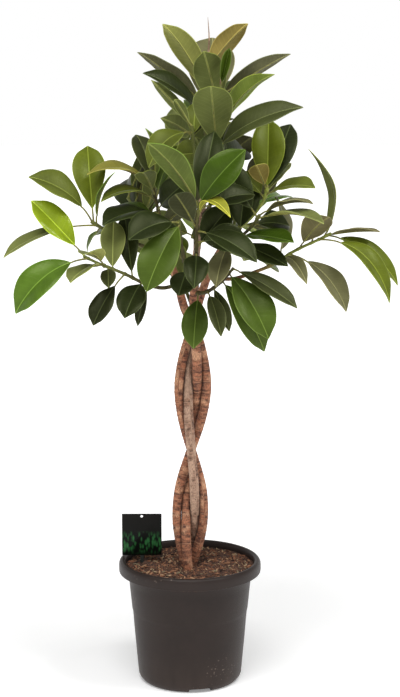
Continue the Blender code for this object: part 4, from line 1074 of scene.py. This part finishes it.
            leaf(0.99, (17.1, -12.0, 65.7), 4.2, (0.2, -0.6, 1.0), "grey", droop=0.05, stalk=0.1),
            leaf(0.66, (12.1, -8.0, 57.9), 5.0, (0.5, -1.0, 0.2), "green", stalk=0.06),
            leaf(0.30, (5.0, -12.5, 61.2), 3.2, (0.2, -1.0, 0.2), "grey", fold=30),
            leaf(0.44, (6.0, -10.5, 62.3), 2.5, (0.2, -1.0, 0.2), "grey", fold=30, stalk=0.06),
            leaf(0.12, (0.6, -9.5, 58.7), 4.5, (-0.1, -1.0, 0.2), "green"),
        ),
    },
}
print(len(SHOOTS), "shoots in front,", sum(len(row["leaves"]) for row in SHOOTS.values()), "leaves")

# %% [markdown]
# ### The shoots behind
# The photograph doesn't show the back, so those shoots follow a rule: leaves turn round the twig by the golden angle,
# as they do on the real plant, and lean less towards its top.

# %% Rows for the shoots behind
REAR_SHOOTS = {  # stem, height, compass, rise, reach, number of leaves
    "shoot_rear_1": ("stem_right", 71.0, 44, 34, 12, 7),
    "shoot_rear_2": ("stem_right", 66.0, 66, 26, 17, 7),
    "shoot_rear_3": ("stem_back", 67.5, 90, 22, 18, 7),
    "shoot_rear_4": ("stem_left", 66.5, 114, 22, 17, 7),
    "shoot_rear_5": ("stem_left", 71.5, 134, 34, 12, 7),
    "shoot_rear_6": ("stem_back", 73.5, 66, 44, 13, 7),
    "shoot_rear_7": ("stem_back", 77.0, 112, 44, 12, 7),
    "shoot_rear_8": ("stem_back", 64.0, 102, 14, 15, 6),
}
GOLDEN_TURN = 137.5
REAR_SEED = 7
REAR_LEAF_LENGTH = (12.0, 15.0)
REAR_LEAF_WIDTH = (5.0, 6.6)
REAR_LEAF_LEAN = (78, 32)
REAR_LEAF_SAG = 1.5
REAR_LEAF_TURN = 12
REAR_LEAF_DROOP = (0.06, 0.16)
REAR_LEAFLESS = 0.5  # of the twig
LAST_LEAF = 0.99
REAR_TWIG_SHARES = (0.0, 0.35, 0.7, 1.0)
REAR_TWIG_LIFT = 0.22
REAR_MIDDLE = 3.5
REAR_SPREAD = ((73.0, 9.0), (78.0, 14.0), (86.0, 10.0), (98.0, 3.0))
REAR_LOOKS = ("green", "olive", "deep", "fresh", "grey", "lush", "green")


def rear_spread(height):
    """How far aside a rear leaf reaches at a height."""
    for (low, near), (high, far) in zip(REAR_SPREAD, REAR_SPREAD[1:]):
        if height < high:
            return near + (far - near) * (height - low) / (high - low)
    return far


def rear_shoot(stem, height, compass, rise, reach, count, draw):
    """A row for a shoot behind the plant."""
    root = min(stem, key=lambda point: abs(point.z - height * CM))
    flat = Vector((math.cos(math.radians(compass)), math.sin(math.radians(compass)), 0.0))
    ahead = (flat * math.cos(math.radians(rise)) + Vector(UP) * math.sin(math.radians(rise))) * reach
    lift = Vector(UP) * REAR_TWIG_LIFT * reach
    twig = [root / CM + ahead * share + lift * share**2 for share in REAR_TWIG_SHARES]
    axis = (twig[-1] - twig[-2]).normalized()
    side = axis.orthogonal().normalized()
    leaves = []
    for i in range(count):
        share = i / (count - 1)
        lean = REAR_LEAF_LEAN[0] + (REAR_LEAF_LEAN[1] - REAR_LEAF_LEAN[0]) * share
        turn = GOLDEN_TURN * i + compass + draw.uniform(-REAR_LEAF_TURN, REAR_LEAF_TURN)
        spread = Quaternion(axis, math.radians(turn)) @ side
        way = axis * math.cos(math.radians(lean)) + spread * math.sin(math.radians(lean))
        at = REAR_LEAFLESS + (LAST_LEAF - REAR_LEAFLESS) * share
        foot, _ = place_on(twig, at)
        tip = foot + way * draw.uniform(*REAR_LEAF_LENGTH)
        tip.z = max(tip.z - REAR_LEAF_SAG, REAR_SPREAD[0][0])
        reach_aside = rear_spread(tip.z)
        tip.x = min(max(tip.x, REAR_MIDDLE - reach_aside), REAR_MIDDLE + reach_aside)
        wide = draw.uniform(*REAR_LEAF_WIDTH)
        look = REAR_LOOKS[i % len(REAR_LOOKS)]
        leaves.append(leaf(at, tuple(tip), wide, look=look, droop=draw.uniform(*REAR_LEAF_DROOP)))
    return {"twig": [tuple(point) for point in twig], "bud": None, "leaves": leaves}


rows = dict(SHOOTS)
rear_draw = random.Random(REAR_SEED)
for name, (stem, *shape) in REAR_SHOOTS.items():
    rows[name] = {"stem": stem, **rear_shoot(stem_lines[stem], *shape, rear_draw)}
print(len(REAR_SHOOTS), "shoots behind")

# %% [markdown]
# ### Finding each leaf in the frame
# Where leaves would have met, the CAD model swung one of them aside. So a leaf is tried at each swing, and the right
# one is where the CAD node has its corners. A leaf that the CAD model left off isn't found, and isn't made.

# %% A leaf's place
DEPTH_SWINGS = (0, 6, -6, 12, -12, 18, -18, 25, -25, 32, -32, 40, -40, 50, -50)
SIDE_SWINGS = (0, 5, -5, 10, -10, 16, -16)
FOUND_WITHIN = 0.00005
FOUND_SHARE = 0.4


class Leaf:
    """A leaf in place: its foot, its three axes, and its shape."""

    def __init__(self, row, foot, axis, swing=(0, 0)):
        self.row = row
        self.foot = foot
        reach = Vector(row["tip"]) * CM - foot
        facing = Vector(row["faces"]) if row["faces"] else axis.copy()
        depth, side = swing
        across_depth = reach.cross(Vector((0.0, 1.0, 0.0)))
        turn = Quaternion((0.0, 1.0, 0.0), math.radians(side)) @ Quaternion(across_depth, math.radians(depth))
        reach = turn @ reach
        facing = turn @ facing
        self.length = reach.length
        self.along = reach.normalized()
        self.across = self.along.cross(facing).normalized()
        self.out = self.across.cross(self.along)
        self.half = row["wide"] * CM / 2
        self.droop = row["droop"]
        self.fold = math.radians(row["fold"])
        self.stalk = row["stalk"]
        self.full = row["full"]

    def corners(self):
        """The corners that the CAD leaf has."""
        found = []
        for station in LEAF_STATIONS:
            share = self.stalk + (1 - self.stalk) * station
            arch = 4 * self.droop
            middle = self.foot + self.length * (self.along * share + self.out * arch * share * (1 - share))
            ahead = (self.along + self.out * arch * (1 - 2 * share)).normalized()
            out = self.across.cross(ahead)
            half = self.half * blade_share(station, self.full)
            rise = out * half * math.sin(self.fold)
            reach = self.across * half * math.cos(self.fold)
            found += [middle - reach + rise, middle + reach + rise, middle + out * LEAF_MIDRIB / 2]
        return found


def blade_share(u, full=BLADE_FULL):
    """Half the blade's width at u, from its foot at 0 to its point at 1, as a share of the widest."""
    return math.sin(math.pi * u**full) ** BLADE_ROUND


def find_leaf(row, path, corners_of_node):
    """The leaf at the swing where the CAD node has the most of its corners, or None."""
    foot, axis = place_on(path, row["at"])
    best, best_share = None, FOUND_SHARE
    for depth in DEPTH_SWINGS:
        for side in SIDE_SWINGS:
            trial = Leaf(row, foot, axis, (depth, side))
            corners = trial.corners()
            met = sum(corners_of_node.find(corner)[2] < FOUND_WITHIN for corner in corners)
            if met / len(corners) > best_share:
                best, best_share = trial, met / len(corners)
    return best


hung = {}
twig_lines = {}
missing = []
for name, row in rows.items():
    node = frame["nodes"][name].data
    corners_of_node = KDTree(len(node.vertices))
    for vert in node.vertices:
        corners_of_node.insert(vert.co, vert.index)
    corners_of_node.balance()
    twig_lines[name] = smooth_path([Vector(point) * CM for point in row["twig"]], TWIG_STEP)
    hung[name] = []
    for i, leaf_row in enumerate(row["leaves"]):
        found = find_leaf(leaf_row, twig_lines[name], corners_of_node)
        if found:
            hung[name].append(found)
        else:
            missing.append(f"{name} {i + 1}")
print(sum(map(len, hung.values())), "leaves found; not in the frame:", ", ".join(missing))

# %% [markdown]
# ## One leaf, modelled once
# A blade starts as a grid. Its columns are raised to a low crown on each side of the midrib, then each row is narrowed
# to the leaf's outline: round at the foot, widest a little past the middle, and drawn out to a drip tip. The stalk and
# the midrib are one tapering bar, which lies under the blade.

# %% The master blade
BLADE_COLUMNS = 8  # to each side of the midrib
BLADE_ROWS = 34
CROWN = 0.30  # of the blade's half width
CROWN_ROUND = 0.8
TIP_FROM = 0.86
TIP_PINCH, TIP_ROUND = 0.36, 0.8
ROW_CLEAR = 3.0  # a finished row is moved this far on, so that it isn't picked again
SAME_POINT = 0.00002


def outline(u):
    """The blade's half width at u, with a concave drip tip."""
    full = blade_share(min(max(u, 0.0), 1.0)) if 0 < u < 1 else 0.0
    if u <= TIP_FROM:
        return full
    past = (u - TIP_FROM) / (1 - TIP_FROM)
    return full * (1 - TIP_PINCH * past**TIP_ROUND)


bpy.ops.mesh.primitive_grid_add(x_subdivisions=2 * BLADE_COLUMNS, y_subdivisions=BLADE_ROWS, size=2.0)
blade = named("master_blade")
columns = points_of(blade.data)[:, 0]
side_of = blade.data.attributes.new("side", "FLOAT", "POINT")
side_of.data.foreach_set("value", columns.astype(np.float32))
bpy.ops.object.mode_set(mode="EDIT")
for column in range(BLADE_COLUMNS):
    side = column / BLADE_COLUMNS
    pick(lambda middle, vert: abs(abs(middle.x) - side) < 0.01)
    bpy.ops.transform.translate(value=(0.0, 0.0, CROWN * side * (1 - side) ** CROWN_ROUND))
for row_number in range(BLADE_ROWS + 1):
    height = -1 + 2 * row_number / BLADE_ROWS
    u = 0.5 - 0.5 * math.cos(math.pi * row_number / BLADE_ROWS)
    pick(lambda middle, vert: abs(middle.y - height) < 0.01)
    share = outline(u)
    bpy.ops.transform.resize(value=(share, 1.0, share), center_override=(0.0, height, 0.0))
    bpy.ops.transform.translate(value=(0.0, u + ROW_CLEAR - height, 0.0))
bpy.ops.mesh.select_all(action="SELECT")
bpy.ops.transform.translate(value=(0.0, -ROW_CLEAR, 0.0))
bpy.ops.mesh.remove_doubles(threshold=SAME_POINT)
bpy.ops.object.mode_set(mode="OBJECT")
print("blade:", len(blade.data.polygons), "faces")

# %% The master stalk and midrib
STALK_SIDES = 8
STALK_RINGS = 7
RIB_RINGS = 15
RIB_END = 0.985  # of the blade's length
rib = straight_bar("master_rib", STALK_SIDES, STALK_RINGS + RIB_RINGS)
rib_points = points_of(rib.data)
rib_share = rib_points[:, 0] * (STALK_RINGS + RIB_RINGS) / STALK_RINGS - 1  # -1 foot, 0 blade's foot, then past it
rib_share = np.where(rib_share > 0, rib_share * STALK_RINGS / RIB_RINGS * RIB_END, rib_share)
print("stalk and midrib:", len(rib.data.polygons), "faces")

# %% [markdown]
# ## Hanging the leaves
# Each leaf is a copy of the masters with its own mesh. Its points are laid along the leaf's arch: across the blade,
# along it, and out from it. A slow wave along each edge and a slight twist, drawn at random with a seed, keep any two
# leaves from being alike. Then a Solidify modifier gives the blades their thickness.

# %% Lay a master along a leaf
BLADE_THICK = 0.0008
WAVE = (0.0004, 0.0018)
WAVE_COUNT = (1.2, 2.2)
TWIST = 0.06
TIP_HOOK = 0.05  # how far the drip tip bends back, of the leaf's length
RIB_STATIONS = (-1.0, -0.7, 0.0, 1.0)
RIB_RADII = (0.0019, 0.0015, 0.0013, 0.0003)
RIB_SINKS = (-0.2, 0.08)  # where the stalk starts to pass below the blade, and where it is below it
RIB_BELOW = 0.0002
TONE = (0.93, 1.07)

LOOKS = {  # upper side, underside, roughness
    "dark": ("#1d2110", "#3c3e28", 0.42),
    "deep": ("#20270f", "#4b4c32", 0.38),
    "green": ("#3f5019", "#6c7344", 0.36),
    "lush": ("#4b651e", "#59652f", 0.26),
    "bright": ("#2f420b", "#6c7638", 0.28),
    "glossy": ("#33420f", "#6c7638", 0.2),
    "fresh": ("#566018", "#6d7c33", 0.36),
    "lime": ("#76881c", "#848b36", 0.2),
    "olive": ("#525a1f", "#5c6334", 0.42),
    "pale": ("#656b39", "#8b8d4a", 0.46),
    "grey": ("#3a3f21", "#535238", 0.42),
    "dusk": ("#615f40", "#646042", 0.5),
    "taupe": ("#605b3e", "#645e3f", 0.5),
    "bronze": ("#767230", "#80723a", 0.42),
    "yellow": ("#8a8a2a", "#8a8a36", 0.4),
}
blade_points = points_of(blade.data)
blade_side = np.empty(len(blade.data.vertices), np.float32)
blade.data.attributes["side"].data.foreach_get("value", blade_side)
blade_outline = np.array([outline(u) for u in blade_points[:, 1]])
rib_turn = np.arctan2(rib_points[:, 2], rib_points[:, 1])


def laid(place, share, across, out_by):
    """Points on a leaf: at a share of its length, so far across and so far out from its arch."""
    foot, along, sideways, out = (np.array(v) for v in (place.foot, place.along, place.across, place.out))
    arch = 4 * place.droop
    share = share[:, None]
    middle = foot + place.length * (along * share + out * arch * share * (1 - share))
    ahead = along + out * arch * (1 - 2 * share)
    ahead /= np.linalg.norm(ahead, axis=1)[:, None]
    return middle + sideways * across[:, None] + np.cross(sideways, ahead) * out_by[:, None]


def hook(place, u):
    """How far the drip tip has bent back at u."""
    return TIP_HOOK * place.length * np.clip(u - TIP_FROM, 0, 1) ** 2 / (1 - TIP_FROM)


def point_values(mesh, name, values):
    """Gives every point of a mesh a value of its own, as an attribute that a material can read."""
    layer = mesh.attributes.get(name) or mesh.attributes.new(name, "FLOAT", "POINT")
    layer.data.foreach_set("value", np.asarray(values, np.float32))


def new_piece(name, mesh, look, tone):
    """A piece of a leaf, with the colours and roughness of its look, a tone lighter or darker."""
    upper, under, roughness = LOOKS[look]
    for layer, code in (("upper_colour", upper), ("under_colour", under)):
        red, green, blue, _ = linear(code)
        colour_of(mesh, layer, (red * tone, green * tone, blue * tone, 1.0))
    point_values(mesh, "roughness", np.full(len(mesh.vertices), roughness))
    piece = bpy.data.objects.new(name, mesh)
    bpy.context.scene.collection.objects.link(piece)
    return piece


def hang_blade(place, name, draw, tone):
    """A copy of the master blade, laid along a leaf, with waves along its edges and a slight twist."""
    u = blade_points[:, 1] ** (BLADE_FULL / place.full)
    across = blade_points[:, 0] * place.half
    rise = np.abs(across) * math.sin(place.fold) + blade_points[:, 2] * place.half
    wave = draw.uniform(*WAVE)
    for edge in (-1, 1):
        count, phase = draw.uniform(*WAVE_COUNT), draw.uniform(0, 2 * math.pi)
        near = np.clip(edge * blade_side, 0, 1) ** 2
        rise += near * wave * np.sin(2 * math.pi * count * u + phase) * np.sin(math.pi * u)
    rise += draw.uniform(-TWIST, TWIST) * across * u - hook(place, u)
    mesh = blade.data.copy()
    set_points(mesh, laid(place, place.stalk + (1 - place.stalk) * u, across * math.cos(place.fold), rise))
    length = place.length * (1 - place.stalk)
    set_map(mesh, "blade", across / CM, u * length / CM)
    rim = np.minimum((1 - np.abs(blade_side)) * blade_outline * place.half, (1 - u) * length)
    point_values(mesh, "rim_mm", rim / MM)
    return new_piece(name, mesh, place.row["look"], tone)


def hang_rib(place, name, tone):
    """A copy of the master bar: the stalk, and the midrib that stands out below the blade."""
    share = np.where(rib_share < 0, place.stalk * (1 + rib_share), place.stalk + (1 - place.stalk) * rib_share)
    radius = np.interp(rib_share, RIB_STATIONS, RIB_RADII)
    sunk = np.interp(rib_share, RIB_SINKS, (0.0, 1.0)) * (radius + RIB_BELOW) + hook(place, rib_share)
    mesh = rib.data.copy()
    set_points(mesh, laid(place, share, -np.cos(rib_turn) * radius, np.sin(rib_turn) * radius - sunk))
    return new_piece(name, mesh, place.row["look"], tone)


# %% [markdown]
# ### Leaf finishes
# A fig's leaf has a thick wax skin: smooth and a little glossy above, dull below. The midrib is a pale line that thins
# towards the tip; side veins leave it every 8 to 10 mm, nearly straight; the edge is a thin pale seam. The map on
# every blade is in centimetres, across and along, so veins keep their real spacing on a leaf of any size. Leaf wax
# starts from an IOR of 1.45; 1.28 and a yellow-green tint match the soft sheen here. The pores, far too fine to show,
# are drawn 1 mm wide to break it.

# %% Upper side and underside
VEIN_SPACING = 0.85  # cm
VEIN_SLANT = 0.42  # how far a vein runs forward for each cm outwards
VEIN_WANDER = 0.35  # cm
VEIN_WIDTH = 0.07  # cm
RIB_GAIN = (2.2, 2.1, 2.1)  # the midrib against the blade: paler, and a little more than in proportion
RIB_LIFT = (0.036, 0.044, 0.018)
RIB_CORE = 0.45  # of the midrib's width, in full colour
CLOUD_RANGE = {"From Min": 0.25, "From Max": 0.75, "To Min": 0.72, "To Max": 1.26}
RIM_RANGE = {"From Min": 1.5, "From Max": 0.6, "To Max": 0.8}  # mm from the edge


def vein_mask(tree, across, along, width):
    """1 on a side vein and 0 between two, from the blade's map."""
    slanted = add_node(tree, "Math", {0: across, 1: -VEIN_SLANT, 2: along}, operation="MULTIPLY_ADD")
    wander = add_node(tree, "TexNoise", {"Vector": add_node(tree, "TexCoord").outputs["Object"], "Scale": 60.0})
    wandering = {0: wander.outputs["Fac"], 1: VEIN_WANDER, 2: slanted.outputs[0]}
    moved = add_node(tree, "Math", wandering, operation="MULTIPLY_ADD")
    saw = add_node(tree, "Math", {0: moved.outputs[0], 1: VEIN_SPACING / 2}, operation="PINGPONG")
    return add_node(tree, "MapRange", {"Value": saw.outputs[0], "From Min": width, "From Max": 0.0}).outputs[0]


def leaf_finish(name, layer, rib_width, vein_strength, vein_lift, roughness=None):
    """One side of a leaf: its colour comes from a layer, and its roughness too if none is given."""
    finish, tree, shader = new_finish(name, IOR=1.28, Specular_Tint=(0.9, 0.95, 0.55, 1.0))
    if roughness:
        shader.inputs["Roughness"].default_value = roughness
    else:
        roughness_of = add_node(tree, "Attribute", attribute_name="roughness").outputs["Fac"]
        tree.links.new(roughness_of, shader.inputs["Roughness"])
    split = add_node(tree, "SeparateXYZ", {"Vector": add_node(tree, "UVMap", uv_map="blade").outputs["UV"]})
    across = add_node(tree, "Math", {0: split.outputs["X"]}, operation="ABSOLUTE").outputs[0]
    along = split.outputs["Y"]
    place = add_node(tree, "TexCoord").outputs["Object"]
    base = add_node(tree, "Attribute", attribute_name=layer).outputs["Color"]
    paler = add_node(tree, "VectorMath", {0: base, 1: RIB_GAIN, 2: RIB_LIFT}, operation="MULTIPLY_ADD").outputs[0]

    cloud = add_node(tree, "TexNoise", {"Vector": place, "Scale": 26.0, "Detail": 3.0})
    clouded = add_node(tree, "MapRange", {"Value": cloud.outputs["Fac"], **CLOUD_RANGE})
    shaded = add_node(tree, "VectorMath", {0: base, "Scale": clouded.outputs[0]}, operation="SCALE")
    veins = vein_mask(tree, across, along, VEIN_WIDTH)
    vein_share = add_node(tree, "Math", {0: veins, 1: vein_strength}, operation="MULTIPLY")
    veined = add_node(tree, "Mix", {0: vein_share.outputs[0], 6: shaded.outputs[0], 7: paler}, **IN_COLOUR)
    rim = add_node(tree, "Attribute", attribute_name="rim_mm").outputs["Fac"]
    rim_share = add_node(tree, "MapRange", {"Value": rim, **RIM_RANGE})
    rimmed = add_node(tree, "Mix", {0: rim_share.outputs[0], 6: veined.outputs[2], 7: paler}, **IN_COLOUR)
    rib_share = add_node(tree, "MapRange", {"Value": across, "From Min": rib_width, "From Max": rib_width * RIB_CORE})
    ribbed = add_node(tree, "Mix", {0: rib_share.outputs[0], 6: rimmed.outputs[2], 7: paler}, **IN_COLOUR)
    tree.links.new(ribbed.outputs[2], shader.inputs["Base Color"])

    pores = add_node(tree, "TexNoise", {"Vector": place, "Scale": 900.0, "Detail": 2.0})
    raised = add_node(tree, "Math", {0: veins, 1: vein_lift, 2: pores.outputs["Fac"]}, operation="MULTIPLY_ADD")
    bump = add_node(tree, "Bump", {"Height": raised.outputs[0], "Strength": 0.25, "Distance": 0.0005})
    tree.links.new(bump.outputs[0], shader.inputs["Normal"])
    return finish


waxy_upper_side = leaf_finish("waxy_upper_side", "upper_colour", 0.11, 0.07, -1.0)
dull_underside = leaf_finish("dull_underside", "under_colour", 0.16, 0.14, 1.5, 0.6)
print("leaf sides:", waxy_upper_side.name, "and", dull_underside.name)

# %% Skin of stalks, twigs and buds
YOUNG_FROM = (0.08, 0.14)  # metres from a twig's root, between which its skin turns to that of its young half


def shoot_finish(name, dark, light, roughness, young=None):
    """Skin of a twig, a stalk or a bud, mottled along its length; young gives the dark and light of its outer half."""
    finish, tree, shader = new_finish(name, Roughness=roughness, IOR=1.3)
    place = add_node(tree, "TexCoord").outputs["Object"]
    cloud = add_node(tree, "TexNoise", {"Vector": place, "Scale": 130.0, "Detail": 4.0})
    tones = add_node(tree, "ValToRGB", {"Fac": cloud.outputs["Fac"]})
    ramp = tones.color_ramp
    ramp.elements[0].position, ramp.elements[0].color = 0.35, linear(dark)
    ramp.elements[1].position, ramp.elements[1].color = 0.65, linear(light)
    skin = tones.outputs["Color"]
    if young:
        mottle = {0: cloud.outputs["Fac"], 6: linear(young[0]), 7: linear(young[1])}
        greener = add_node(tree, "Mix", mottle, **IN_COLOUR)
        strip = add_node(tree, "UVMap", uv_map="strip").outputs["UV"]
        outwards = add_node(tree, "SeparateXYZ", {"Vector": strip}).outputs["Y"]
        share = add_node(tree, "MapRange", {"Value": outwards, "From Min": YOUNG_FROM[0], "From Max": YOUNG_FROM[1]})
        skin = add_node(tree, "Mix", {0: share.outputs[0], 6: skin, 7: greener.outputs[2]}, **IN_COLOUR).outputs[2]
    tree.links.new(skin, shader.inputs["Base Color"])
    bump = add_node(tree, "Bump", {"Height": cloud.outputs["Fac"], "Strength": 0.3, "Distance": 0.0004})
    tree.links.new(bump.outputs[0], shader.inputs["Normal"])
    return finish


stalk_finish = shoot_finish("leaf_stalk", "#5f5d34", "#84823f", 0.45)
twig_finishes = {
    "plain": shoot_finish("olive_twig", "#35301a", "#504a26", 0.55, ("#4e5228", "#6f7538")),
    "fresh": shoot_finish("fresh_twig", "#6c7430", "#8f9642", 0.5),
    "red": shoot_finish("red_twig", "#59392a", "#83603f", 0.6, ("#636a2e", "#868c40")),
}
bud_finish = shoot_finish("bud_sheath", "#6b5340", "#a0826a", 0.45)
print("twig skins:", ", ".join(twig_finishes))

# %% [markdown]
# ### Twigs and buds
# A twig is a bent bar again, a little thicker where a leaf joins it, and its root goes into the stem. Its skin is
# brown or olive near the root and greener on its young half, with mottling of about 8 mm. Some twigs end in the fig's
# long pointed bud: a rolled sheath, pinkish brown, that holds the next leaf.

# %% Make every shoot
TWIG_SIDES = 12
TWIG_RING = 0.003
NODE_SWELL = 0.0009
NODE_WIDTH = 0.0022
BUD_SHARES = (0.0, 0.12, 0.3, 0.7, 0.92, 1.0)
BUD_RADII = (0.0019, 0.0018, 0.0014, 0.0008, 0.0005, 0.0002)
BUD_RINGS = 16
BUD_BOW = 0.03  # of its length
TWIG_KINDS = {"shoot_right_upper": "fresh", "shoot_right_outer": "red"}
LEAF_SEED = 3
SMOOTH_UNDER = math.radians(45)


def make_twig(name, places):
    """A shoot's twig, with a node where each leaf joins it."""
    line = smooth_path([Vector(point) * CM for point in rows[name]["twig"]], TWIG_RING)
    length = length_of(line)

    def radius_at(along, turn):
        radius = TWIG_ROOT_RADIUS + (TWIG_TIP_RADIUS - TWIG_ROOT_RADIUS) * along / length
        for place in places:
            radius = radius + NODE_SWELL * np.exp(-(((along - place.row["at"] * length) / NODE_WIDTH) ** 2))
        return radius

    twig = round_bar(name + "_twig", line, TWIG_SIDES, round(length / TWIG_RING), radius_at)
    twig.data.materials.append(twig_finishes[TWIG_KINDS.get(name, "plain")])
    return twig


def make_bud(name):
    """The bud at the end of a shoot's twig."""
    foot = Vector(rows[name]["twig"][-1]) * CM
    point = Vector(rows[name]["bud"]) * CM
    length = (point - foot).length
    line = smooth_path([foot, foot.lerp(point, 0.5) + Vector((length * BUD_BOW, 0.0, 0.0)), point], TWIG_RING)

    def radius_at(along, turn):
        return np.interp(along / length, BUD_SHARES, BUD_RADII)

    bud = round_bar(name + "_bud", line, TWIG_SIDES, BUD_RINGS, radius_at)
    bud.data.materials.append(bud_finish)
    return bud


blade.data.materials.append(waxy_upper_side)
blade.data.materials.append(dull_underside)
rib.data.materials.append(stalk_finish)
leaf_draw = random.Random(LEAF_SEED)
for name, places in hung.items():
    tones = [leaf_draw.uniform(*TONE) for _ in places]
    blades = [hang_blade(place, f"{name}_blade_{i}", leaf_draw, tones[i]) for i, place in enumerate(places)]
    only(*blades)
    bpy.ops.object.join()
    shoot = named(name + "_leaves")
    apply_modifier(shoot, "SOLIDIFY", thickness=BLADE_THICK, offset=-1.0, material_offset=1)
    rest = [hang_rib(place, f"{name}_rib_{i}", tones[i]) for i, place in enumerate(places)]
    rest.append(make_twig(name, places))
    if rows[name]["bud"]:
        rest.append(make_bud(name))
    only(shoot, *rest)
    bpy.ops.object.join()
    bpy.ops.object.shade_smooth_by_angle(angle=SMOOTH_UNDER)
    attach(shoot, "root")
    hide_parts(name)
for master in (blade, rib):
    bpy.data.objects.remove(master)
made = [piece for piece in bpy.data.objects if piece.name.endswith("_leaves")]
print(len(made), "leafy pieces,", sum(len(piece.data.polygons) for piece in made), "faces")

# %% [markdown]
# ## The finished size
# The finished pieces' box is printed beside the frame's own box. The fine pieces must stay within
# the frame's own box.

# %% Finish
finished_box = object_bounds()
for title, box in (("frame:", cad_box), ("finished:", finished_box)):
    print(title, [round(side, 3) for side in box[1] - box[0]])
